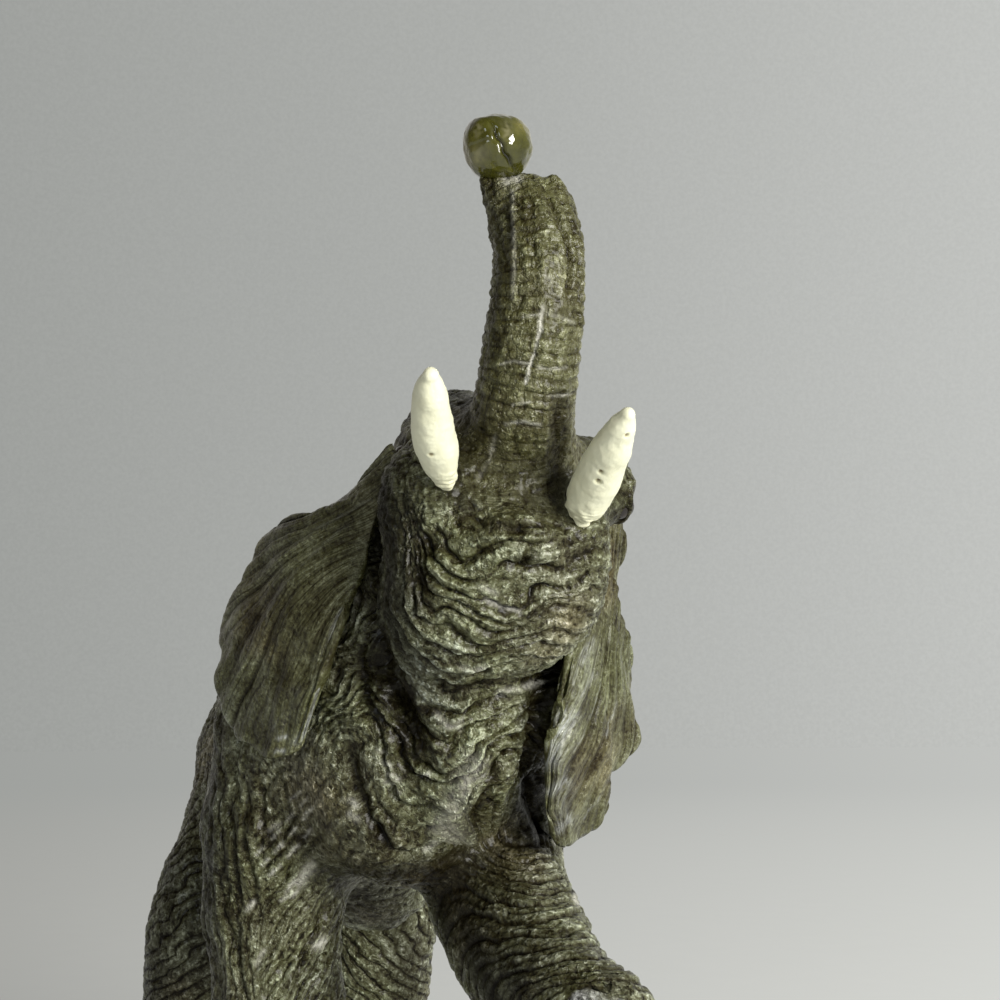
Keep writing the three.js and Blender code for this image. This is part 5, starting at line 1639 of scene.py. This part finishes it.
def hide_material(name, slots, tone=1.0, ear_side=False):
    mat, nt, b = new_material(name)
    cav = attribute(nt, "cav")
    grain = noise_node(nt, 1500, 4, 0.65)
    blot = noise_node(nt, 120, 3, 0.6)
    patch = noise_node(nt, 42, 2, 0.5)
    line = fold_lines(nt, slots)
    long_ = streaks(nt, 260.0, 3.2, 4.0)
    thin = streaks(nt, 420.0, 9.0 if ear_side else 6.0, 3.0)
    net = crackle(nt, 620, 0.10, 2.4)
    fleck = ramp(nt, noise_node(nt, 1050, 2, 0.55), [(0.53, (0, 0, 0)), (0.64, (1, 1, 1))])
    pit = ramp(nt, noise_node(nt, 820, 2, 0.55), [(0.36, (1, 1, 1)), (0.46, (0, 0, 0))])
    lively = 0.5 if ear_side else 1.0
    # paint washed into the cracks and rubbed off the tops
    k = maths(nt, "MULTIPLY", cav, 0.62)
    for value, share in ((long_, 0.45 if ear_side else 0.80), (thin, 0.26 if ear_side else 0.50), (grain, 0.72), (blot, 0.62)):
        k = maths(nt, "ADD", k, centred(nt, value, share))
    k = maths(nt, "SUBTRACT", k, maths(nt, "MULTIPLY", line, 0.17))
    k = maths(nt, "SUBTRACT", k, maths(nt, "MULTIPLY", net, 0.0 if ear_side else 0.04))
    k = maths(nt, "ADD", k, maths(nt, "MULTIPLY", maths(nt, "MULTIPLY", fleck, cav), 0.27 * lively))
    k = maths(nt, "SUBTRACT", k, maths(nt, "MULTIPLY", pit, 0.20 * lively))
    k = maths(nt, "ADD", k, 0.11, True)
    if not ear_side:
        worn = maths(nt, "MULTIPLY", attribute(nt, "trunk"), 0.42)
        k = maths(nt, "ADD", maths(nt, "MULTIPLY", k, maths(nt, "SUBTRACT", 1.0, worn)), maths(nt, "MULTIPLY", worn, 0.465), True)
        k = maths(nt, "ADD", k, maths(nt, "MULTIPLY", attribute(nt, "trunk"), centred(nt, noise_node(nt, 230, 3, 0.6), 0.42)), True)
    t = tone
    wash = ramp(nt, k, [(0.08, (0.0066 * t, 0.0047 * t, 0.0014 * t)), (0.30, (0.0260 * t, 0.0217 * t, 0.0088 * t)),
                        (0.50, (0.0695 * t, 0.0675 * t, 0.0320 * t)), (0.66, (0.129 * t, 0.132 * t, 0.077 * t)),
                        (0.80, (0.258 * t, 0.268 * t, 0.192 * t)), (0.94, (0.49 * t, 0.51 * t, 0.43 * t))])
    tint = ramp(nt, patch, [(0.30, (1.12, 0.96, 0.78)), (0.44, (1.0, 1.0, 0.92)), (0.58, (0.98, 1.02, 0.80)),
                            (0.74, (0.95, 0.99, 1.04))])
    col = mix(nt, 1.0, wash, tint, "MULTIPLY")
    if ear_side:
        col = mix(nt, 1.0, col, (1.0, 1.0, 0.89), "MULTIPLY")
        # painted highlight: glints and sheen on the ears in a light grey
        lit = maths(nt, "MULTIPLY", attribute(nt, "painted_highlight"), maths(nt, "ADD", centred(nt, thin, 3.0), 0.42, True), True)
        col = mix(nt, lit, col, (0.52, 0.54, 0.53))
        wet = None
    else:
        op = attribute(nt, "open")
        # painted shade: the colour darkens in the hollows between limbs and folds, the less open the skin lies
        shade = ramp(nt, op, [(0.15, (0.16, 0.13, 0.09)), (0.50, (0.60, 0.57, 0.50)), (0.84, (1, 1, 1))])
        col = mix(nt, 1.0, col, shade, "MULTIPLY")
        col = mix(nt, attribute(nt, "trunk"), col, mix(nt, 1.0, col, (0.94, 0.89, 0.72), "MULTIPLY"))
        # painted shade: the marked hollows and shadowed sides turn a near-black brown
        col = mix(nt, attribute(nt, "painted_shade"), col, (0.0065, 0.0048, 0.0022))
        wet = maths(nt, "MULTIPLY", maths(nt, "SUBTRACT", 1.0, attribute(nt, "painted_shade")),
                    ramp(nt, op, [(0.20, (0.1, 0.1, 0.1)), (0.75, (1, 1, 1))]))
        nailed = attribute(nt, "nail")
        # nails: dark grey, speckled with whitish flecks that are painted glints
        nail_colour_with_glints = ramp(nt, maths(nt, "ADD", maths(nt, "MULTIPLY", grain, 0.5), maths(nt, "MULTIPLY", noise_node(nt, 520, 3, 0.6), 0.5)),
                    [(0.38, (0.045, 0.044, 0.038)), (0.48, (0.15, 0.152, 0.142)), (0.58, (0.56, 0.57, 0.56))])
        col = mix(nt, nailed, col, nail_colour_with_glints)
        # whitish glue and chips, and painted highlight strokes
        chalk_and_highlight = attribute(nt, "chalk_and_highlight")
        col = mix(nt, chalk_and_highlight, col, (0.62, 0.61, 0.54))
    nt.links.new(col, b.inputs["Base Color"])
    r = ramp(nt, noise_node(nt, 340, 3, 0.6), [(0.35, (0.22, 0.22, 0.22)), (0.65, (0.46, 0.46, 0.46))])
    nt.links.new(r, b.inputs["Roughness"])
    shine = ramp(nt, k, [(0.20, (0.06, 0.06, 0.06)), (0.48, (0.30, 0.30, 0.30)), (0.66, (0.75, 0.75, 0.75)), (0.85, (1, 1, 1))])
    if wet is not None:
        shine = maths(nt, "MULTIPLY", shine, wet)
    nt.links.new(shine, b.inputs["Specular IOR Level"])
    b.inputs["Coat Weight"].default_value = 0.20
    b.inputs["Coat Roughness"].default_value = 0.22
    bump = nt.nodes.new("ShaderNodeBump")
    bump.inputs["Strength"].default_value = 1.0
    bump.inputs["Distance"].default_value = 0.00024
    hh = maths(nt, "ADD", maths(nt, "MULTIPLY", grain, 0.7), maths(nt, "MULTIPLY", noise_node(nt, 3200, 2, 0.6), 0.30))
    hh = maths(nt, "ADD", hh, maths(nt, "MULTIPLY", thin, 0.4 if ear_side else 0.8))
    hh = maths(nt, "ADD", hh, maths(nt, "MULTIPLY", long_, 0.5 if ear_side else 1.0))
    hh = maths(nt, "SUBTRACT", hh, maths(nt, "MULTIPLY", line, 0.8))
    hh = maths(nt, "SUBTRACT", hh, maths(nt, "MULTIPLY", net, 0.0 if ear_side else 0.25))
    hh = maths(nt, "ADD", hh, maths(nt, "MULTIPLY", fleck, 0.6 * lively))
    hh = maths(nt, "SUBTRACT", hh, maths(nt, "MULTIPLY", pit, 0.6 * lively))
    nt.links.new(hh, bump.inputs["Height"])
    nt.links.new(bump.outputs["Normal"], b.inputs["Normal"])
    return mat


def tusk_material():
    mat, nt, b = new_material("cream_paint")
    cav = attribute(nt, "cav")
    n = noise_node(nt, 170, 4, 0.6)
    k = maths(nt, "ADD", maths(nt, "MULTIPLY", cav, 0.75), maths(nt, "MULTIPLY", n, 0.4), True)
    col = ramp(nt, k, [(0.05, (0.055, 0.040, 0.020)), (0.22, (0.20, 0.16, 0.085)), (0.42, (0.56, 0.53, 0.35)),
                       (0.62, (0.76, 0.75, 0.54)), (1.0, (0.85, 0.85, 0.66))])
    nt.links.new(col, b.inputs["Base Color"])
    r = ramp(nt, noise_node(nt, 300, 2, 0.5), [(0.3, (0.42, 0.42, 0.42)), (0.7, (0.58, 0.58, 0.58))])
    nt.links.new(r, b.inputs["Roughness"])
    b.inputs["Coat Weight"].default_value = 0.12
    b.inputs["Coat Roughness"].default_value = 0.35
    bump = nt.nodes.new("ShaderNodeBump")
    bump.inputs["Strength"].default_value = 0.35
    bump.inputs["Distance"].default_value = 0.0002
    nt.links.new(noise_node(nt, 1300, 4, 0.6), bump.inputs["Height"])
    nt.links.new(bump.outputs["Normal"], b.inputs["Normal"])
    return mat


def bead_material():
    mat, nt, b = new_material("green_bead")
    cav = attribute(nt, "cav")
    pale = attribute(nt, "pale")
    n = noise_node(nt, 210, 3, 0.5)
    col = ramp(nt, n, [(0.32, (0.038, 0.038, 0.0035)), (0.52, (0.092, 0.092, 0.009)), (0.70, (0.17, 0.155, 0.028))])
    # a whitish patch low on the left, and painted glints on the bead
    col = mix(nt, pale, col, (0.30, 0.28, 0.15))
    dark = ramp(nt, cav, [(0.0, (0.10, 0.09, 0.05)), (0.6, (1, 1, 1))])
    col = mix(nt, 1.0, col, dark, "MULTIPLY")
    nt.links.new(col, b.inputs["Base Color"])
    b.inputs["Roughness"].default_value = 0.09
    b.inputs["IOR"].default_value = 1.5
    b.inputs["Transmission Weight"].default_value = 0.35
    b.inputs["Coat Weight"].default_value = 0.6
    b.inputs["Coat Roughness"].default_value = 0.06
    bump = nt.nodes.new("ShaderNodeBump")
    bump.inputs["Strength"].default_value = 0.10
    bump.inputs["Distance"].default_value = 0.0003
    nt.links.new(noise_node(nt, 420, 2, 0.5), bump.inputs["Height"])
    nt.links.new(bump.outputs["Normal"], b.inputs["Normal"])
    return mat


def eye_material():
    mat, nt, b = new_material("dark_eye")
    n = noise_node(nt, 700, 2, 0.5)
    col = ramp(nt, n, [(0.35, (0.006, 0.004, 0.003)), (0.7, (0.030, 0.018, 0.010))])
    nt.links.new(col, b.inputs["Base Color"])
    b.inputs["Roughness"].default_value = 0.10
    b.inputs["Coat Weight"].default_value = 0.5
    b.inputs["Coat Roughness"].default_value = 0.05
    return mat


WALL = [(0.30, (0.330, 0.340, 0.325)), (0.50, (0.415, 0.425, 0.408)), (0.68, (0.545, 0.555, 0.535))]


def floor_material():
    mat, nt, b = new_material("pale_floor")
    tc = nt.nodes.new("ShaderNodeTexCoord")
    sep = nt.nodes.new("ShaderNodeSeparateXYZ")
    nt.links.new(tc.outputs["Object"], sep.inputs["Vector"])
    sep_y = maths(nt, "ADD", sep.outputs["Y"], 0.268)
    sep_x = maths(nt, "ADD", sep.outputs["X"], 0.072)
    away = maths(nt, "SQRT", maths(nt, "ADD", maths(nt, "MULTIPLY", sep_x, sep_x), maths(nt, "MULTIPLY", sep_y, sep_y)))
    side = maths(nt, "SUBTRACT", maths(nt, "MULTIPLY", sep_x, 0.94), maths(nt, "MULTIPLY", sep_y, 0.34))
    across = maths(nt, "ADD", maths(nt, "MULTIPLY", maths(nt, "DIVIDE", side, maths(nt, "MAXIMUM", away, 0.01)), 0.5), 0.5)
    fade = nt.nodes.new("ShaderNodeMapRange")
    fade.interpolation_type = "SMOOTHSTEP"
    fade.inputs["From Min"].default_value = 0.35
    fade.inputs["From Max"].default_value = 2.6
    nt.links.new(away, fade.inputs["Value"])
    # painted light: the floor is lighter towards the right, and far off its glow takes the wall's grey
    col = ramp(nt, across, [(0.30, (0.28, 0.283, 0.276)), (0.68, (0.36, 0.363, 0.356))])
    fine = ramp(nt, noise_node(nt, 60.0, 3, 0.6), [(0.3, (0.97, 0.97, 0.97)), (0.7, (1.0, 1.0, 1.0))])
    col = mix(nt, 1.0, col, fine, "MULTIPLY")
    # the floor in front of the large lamp is a duller grey, so that it doesn't burn out
    fx, fy = maths(nt, "SUBTRACT", sep.outputs["X"], 0.285), maths(nt, "ADD", sep.outputs["Y"], 0.783)
    off = maths(nt, "SQRT", maths(nt, "ADD", maths(nt, "MULTIPLY", fx, fx), maths(nt, "MULTIPLY", fy, fy)))
    dull = maths(nt, "MAXIMUM", maths(nt, "POWER", maths(nt, "DIVIDE", off, 0.72), 2.1, True), 0.035, True)
    col = mix(nt, dull, (0.0, 0.0, 0.0), col)
    nt.links.new(mix(nt, fade.outputs["Result"], col, (0.01, 0.01, 0.01)), b.inputs["Base Color"])
    b.inputs["Roughness"].default_value = 0.9
    b.inputs["Specular IOR Level"].default_value = 0.0
    # painted light: the floor glows by emission, brighter on the right side
    near = ramp(nt, across, [(0.30, (0.265, 0.268, 0.255)), (0.68, (0.500, 0.510, 0.490))])
    far = ramp(nt, across, WALL)
    nt.links.new(mix(nt, fade.outputs["Result"], near, far), b.inputs["Emission Color"])
    b.inputs["Emission Strength"].default_value = 1.0
    return mat


HIDE = hide_material("resin_hide", range(1, 13))
EAR = hide_material("resin_ear", (1, 2, 3), 1.06, True)
CREAM = tusk_material()
BEAD = bead_material()
EYE = eye_material()

# Whitish glue and chips, and painted highlight strokes: half width in mm, strength, picture places.
CHALK_AND_HIGHLIGHT = [
    (1.9, 0.34, [(474, 764), (458, 796), (444, 828)]), (0.8, 0.5, [(300, 882), (311, 866)]),
    (0.30, 1.0, [(543, 307), (541, 320), (540, 330)]), (0.19, 1.0, [(541, 322), (538, 338), (535, 352), (530, 366), (526, 384)]),
    (1.0, 0.9, [(508, 178), (514, 177)]), (0.35, 0.8, [(577, 890), (574, 898), (578, 905)]),
    (0.3, 0.8, [(553, 838), (557, 846)]),
    (0.18, 0.45, [(522, 317), (540, 314)]), (0.20, 0.45, [(500, 364), (514, 361), (530, 364)]),
    (0.22, 0.45, [(537, 367), (552, 370), (566, 367)]), (0.18, 0.45, [(549, 397), (572, 394)]),
    (0.20, 0.45, [(513, 405), (530, 402)]), (0.22, 0.50, [(505, 424), (520, 421), (541, 425)]),
    (0.30, 0.30, [(512, 190), (513, 230), (514, 262), (512, 298)]), (0.35, 0.28, [(496, 436), (490, 458), (478, 480)]),
    (0.35, 0.30, [(548, 313), (560, 317), (572, 322)]),
    (0.24, 0.75, [(262, 866), (268, 859)]), (0.24, 0.8, [(274, 853), (283, 843)]), (0.24, 0.7, [(290, 835), (296, 828)]),
    (0.24, 0.8, [(303, 819), (312, 808)]), (0.24, 0.75, [(270, 876), (280, 866)]), (0.24, 0.8, [(288, 857), (298, 845)]),
    (0.24, 0.65, [(304, 838), (311, 829)]), (0.22, 0.7, [(256, 856), (263, 848)]), (0.22, 0.7, [(272, 838), (279, 830)]),
    (0.22, 0.7, [(287, 821), (294, 813)]), (0.22, 0.6, [(300, 806), (307, 799)]), (0.30, 0.6, [(286, 892), (296, 880)]),
    (0.34, 0.6, [(298, 884), (309, 868)]), (0.30, 0.5, [(292, 896), (303, 884)]), (0.24, 0.6, [(281, 901), (287, 896)]),
    (0.35, 0.55, [(247, 910), (254, 902)]), (0.4, 0.5, [(271, 829), (279, 824)]), (0.8, 0.75, [(318, 946), (324, 942)]),
    (0.24, 0.55, [(290, 800), (300, 792)]), (0.3, 0.5, [(256, 965), (264, 950)]),
    (0.5, 0.5, [(376, 657), (382, 670), (388, 682)]), (0.4, 0.5, [(353, 590), (357, 600)]),
    (0.5, 0.6, [(416, 782), (428, 774)]), (0.4, 0.6, [(381, 762), (390, 767)]), (0.4, 0.6, [(389, 775), (398, 779)]),
    (0.5, 0.6, [(350, 800), (356, 806)]), (0.5, 0.6, [(350, 814), (357, 820)]), (0.4, 0.5, [(486, 600), (500, 606)]), (0.3, 0.5, [(506, 607), (520, 612)]),
    (0.5, 0.4, [(482, 588), (496, 594)]), (0.5, 0.45, [(500, 693), (520, 689), (545, 680)]),
    (0.5, 0.45, [(438, 716), (448, 726), (460, 727)]), (0.5, 0.4, [(462, 668), (474, 672), (484, 668)]),
    (0.5, 0.35, [(470, 842), (480, 830)]), (0.5, 0.4, [(426, 850), (436, 842)]), (0.3, 0.5, [(446, 812), (454, 804)]),
    (0.3, 0.5, [(384, 781), (392, 785)]), (0.3, 0.5, [(392, 790), (400, 793)]), (0.3, 0.5, [(378, 750), (385, 754)]),
]


def chalk_and_highlight_marks(ob, V):
    """Whitish glue and chips on the cast hide, and painted highlight strokes."""
    v = np.zeros(len(V))
    worn = 0.50 + 0.50 * smooth(noise(V / 1.1 + 7), -0.3, 0.3)
    for width, strength, poly in CHALK_AND_HIGHLIGHT:
        X, hit = on_skin_all(every(poly, 5.0))
        if hit.sum() > 1:
            near = np.abs(V - X[hit].mean(0)).max(1) < 40
            d = to_line(picture(V[near]) + 1.3 * noise(V[near] / 0.9)[:, None], np.array(poly, float)) / 6.5
            here = to_line(V[near], X[hit]) < 1.6 + width
            v[near] = np.maximum(v[near], strength * worn[near] * here * np.exp(-(d / width) ** 2))
    return v


def mesh_points(me):
    co = np.empty(len(me.vertices) * 3, np.float32)
    me.vertices.foreach_get("co", co)
    return co.reshape(-1, 3).astype(float) * 1000 + SHIFT


def finish_piece(ob, material, slot_name, *nodes):
    ob.data.materials.append(material)
    if "cav" in ob.data.attributes and material is HIDE:
        a = ob.data.attributes.new("chalk_and_highlight", "FLOAT", "POINT")
        a.data.foreach_set("value", chalk_and_highlight_marks(ob, mesh_points(ob.data)).astype(np.float32))
    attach(ob, "root")
    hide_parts(*nodes)
    return ob


# -------------------------------------------------------------------- pieces
lv = 1 if not FINE else 2
finish_piece(skin_piece("hide_torso", (-46, -52, 40), (46, 112, 134), 1.8, lv, None,
                        ("leg_front_right", "leg_hind_right", "leg_hind_left", "leg_front_left", "head")),
             HIDE, "resin_hide", "torso")
finish_piece(skin_piece("hide_head", (-34, -86, 62), (44, -4, 152), 1.35, lv, "head", ("trunk",)),
             HIDE, "resin_hide", "head")
finish_piece(skin_piece("hide_trunk", (-12, -90, 121), (22, -52, 178), 1.05, lv, "trunk"),
             HIDE, "resin_hide", "trunk")
finish_piece(skin_piece("hide_leg_front_right", (-42, -30, -5), (10, 26, 64), 1.55, lv, "leg_front_right"),
             HIDE, "resin_hide", "leg_front_right")
finish_piece(skin_piece("hide_leg_front_left", (-8, -86, 22), (44, -2, 84), 1.45, lv, "leg_front_left"),
             HIDE, "resin_hide", "leg_front_left")
finish_piece(skin_piece("hide_leg_hind_right", (-46, 42, -5), (8, 106, 62), 1.9, lv, "leg_hind_right"),
             HIDE, "resin_hide", "leg_hind_right")
finish_piece(skin_piece("hide_leg_hind_left", (-8, 42, -5), (46, 106, 62), 1.9, lv, "leg_hind_left"),
             HIDE, "resin_hide", "leg_hind_left")
finish_piece(ear("cast_ear_right", EAR_RIGHT, 3.0, EAR_FOLDS_RIGHT), EAR, "resin_ear", "ear_right")
finish_piece(ear("cast_ear_left", EAR_LEFT, 8.0, EAR_FOLDS_LEFT), EAR, "resin_ear", "ear_left")
finish_piece(tusk("cream_tusk_right", TUSK_RIGHT, [(431, 455, 0.4, 0.2)], 2.0), CREAM, "cream_tusk", "tusk_right")
finish_piece(tusk("cream_tusk_left", TUSK_LEFT, [(600, 473, 0.42, 0.45), (598, 482, 0.46, 0.7), (627, 436, 0.40, 0.3)], 6.0),
             CREAM, "cream_tusk", "tusk_left")
finish_piece(tail("hide_tail"), HIDE, "resin_hide", "tail")


def bead_shape(D):
    to_eye = -FWD
    px = D @ RIGHT
    py = D @ UP
    front = D @ to_eye
    line = px - 0.06 + 0.42 * (py + 0.1) + 0.10 * noise(D * 3.5 + 2)
    crease = np.exp(-(line / 0.085) ** 2) * smooth(front, 0.1, 0.5) * smooth(py, 0.62, 0.15) * smooth(py, -0.9, -0.6)
    dents = np.exp(-((px + 0.48) ** 2 + (py - 0.18) ** 2) / 0.02) * 0.5 * smooth(front, 0, 0.4)
    wedge = np.exp(-((px + 0.70) ** 2 + (py - 0.55) ** 2) / 0.10)
    square = -0.42 * smooth(py, 0.62, 0.98) - 0.20 * smooth(py, -0.75, -1.0)
    h = 0.22 * noise(D * 2.2 + 5) + 0.07 * noise(D * 6.5 + 1) - 0.50 * crease + wedge * 0.32 + square - 0.10 * dents
    # a whitish patch low on the left, and painted glints on the upper left and right
    pale = np.exp(-((px + 0.58) ** 2 + (py + 0.40) ** 2) / 0.10) * 0.7 * smooth(front, 0, 0.4)
    glint_break = 0.5 + 0.9 * noise(D * 9.0 + 4)
    pale = np.maximum(pale, np.clip(glint_break, 0, 1) * np.exp(-(((px + 0.56) / 0.13) ** 2 + ((py - 0.28) / 0.24) ** 2)) * smooth(front, 0, 0.4))
    pale = np.maximum(pale, np.clip(glint_break + 0.1, 0, 1) * np.exp(-(((px - 0.24) / 0.14) ** 2 + ((py - 0.22) / 0.26) ** 2)) * smooth(front, 0, 0.4))
    return h, dict(cav=1 - 0.92 * crease, pale=pale)


finish_piece(ball("green_bead", BEAD_CENTRE, BEAD_R, bead_shape), BEAD, "green_bead", "trunk_tip_bead")
for node_name, (at, out) in EYES.items():
    def eye_shape(D, out=out):
        side = D @ out
        return 0.10 * smooth(side, 0.75, 0.95) - 0.02, dict(cav=np.ones(len(D)))
    finish_piece(ball("glass_" + node_name, at - out * 1.7, 2.2, eye_shape, 28), EYE, "dark_eye", node_name)

# ------------------------------------------------------- floor, light, camera
bpy.ops.mesh.primitive_grid_add(x_subdivisions=8, y_subdivisions=8, size=12.0, location=(0, 0, 0))
floor = bpy.context.object
floor.name = "pale_floor"
floor.data.materials.append(floor_material())

world = bpy.data.worlds.new("soft_room")
bpy.context.scene.world = world
world.use_nodes = True
wn = world.node_tree
wn.nodes.clear()
wout = wn.nodes.new("ShaderNodeOutputWorld")
tc = wn.nodes.new("ShaderNodeTexCoord")


def toward(direction):
    d = wn.nodes.new("ShaderNodeVectorMath")
    d.operation = "DOT_PRODUCT"
    wn.links.new(tc.outputs["Generated"], d.inputs[0])
    d.inputs[1].default_value = direction
    return maths(wn, "ADD", maths(wn, "MULTIPLY", d.outputs["Value"], 0.5), 0.5)


# what is seen behind the figure, and the softer light of the room on it
wall = wn.nodes.new("ShaderNodeBackground")
paper = noise_node(wn, 420.0, 4, 0.6)
wn.links.new(tc.outputs["Generated"], paper.node.inputs["Vector"])
paper = ramp(wn, paper, [(0.35, (0.972, 0.972, 0.972)), (0.65, (1.028, 1.028, 1.028))])
wn.links.new(mix(wn, 1.0, ramp(wn, toward((0.94, -0.34, 0.0)), WALL), paper, "MULTIPLY"), wall.inputs["Color"])
room = wn.nodes.new("ShaderNodeBackground")
near_side = ramp(wn, toward((0.94, -0.34, 0.0)), [(0.22, (0.072, 0.053, 0.034)), (0.48, (0.16, 0.154, 0.142)),
                                                  (0.85, (0.40, 0.40, 0.395))])
far_side = ramp(wn, toward((0.34, 0.94, 0.0)), [(0.56, (0, 0, 0)), (0.86, (0.38, 0.38, 0.36))])
wn.links.new(mix(wn, 1.0, near_side, far_side, "ADD"), room.inputs["Color"])
seen = wn.nodes.new("ShaderNodeLightPath")
both = wn.nodes.new("ShaderNodeMixShader")
wn.links.new(seen.outputs["Is Camera Ray"], both.inputs["Fac"])
wn.links.new(room.outputs["Background"], both.inputs[1])
wn.links.new(wall.outputs["Background"], both.inputs[2])
wn.links.new(both.outputs["Shader"], wout.inputs["Surface"])

MIDDLE = put((5, -40, 110))


def lamp(name, direction, distance, size, power, colour):
    d = np.array(direction, float)
    d /= np.linalg.norm(d)
    data = bpy.data.lights.new(name, "AREA")
    data.shape = "DISK"
    data.size = size
    data.energy = power
    data.color = colour
    ob = bpy.data.objects.new(name, data)
    bpy.context.scene.collection.objects.link(ob)
    from mathutils import Vector
    ob.location = Vector(MIDDLE + d * distance)
    ob.rotation_euler = Vector(-d).to_track_quat("-Z", "Y").to_euler()
    return ob


lamp("key", RIGHT * 0.66 + UP * 0.24 - FWD * 0.74, 0.8, 0.42, 8.9, (1.0, 0.985, 0.93))
lamp("window", -RIGHT * 0.55 + UP * 0.30 - FWD * 0.75, 1.0, 0.36, 1.1, (0.86, 0.93, 1.0))

cam_data = bpy.data.cameras.new("view")
cam = bpy.data.objects.new("view", cam_data)
bpy.context.scene.collection.objects.link(cam)
cam_data.sensor_fit = "HORIZONTAL"
cam_data.angle = math.radians(38.0)
cam_data.clip_start = 0.005
cam_data.clip_end = 60.0
from mathutils import Matrix
r, u_, f_ = RIGHT / np.linalg.norm(RIGHT), UP / np.linalg.norm(UP), FWD / np.linalg.norm(FWD)
p = put(VIEW_POINT)
cam.matrix_world = Matrix([[r[0], u_[0], -f_[0], p[0]], [r[1], u_[1], -f_[1], p[1]], [r[2], u_[2], -f_[2], p[2]], [0, 0, 0, 1]])
bpy.context.scene.camera = cam
bpy.context.scene.view_settings.view_transform = "Standard"
bpy.context.scene.view_settings.look = "None"
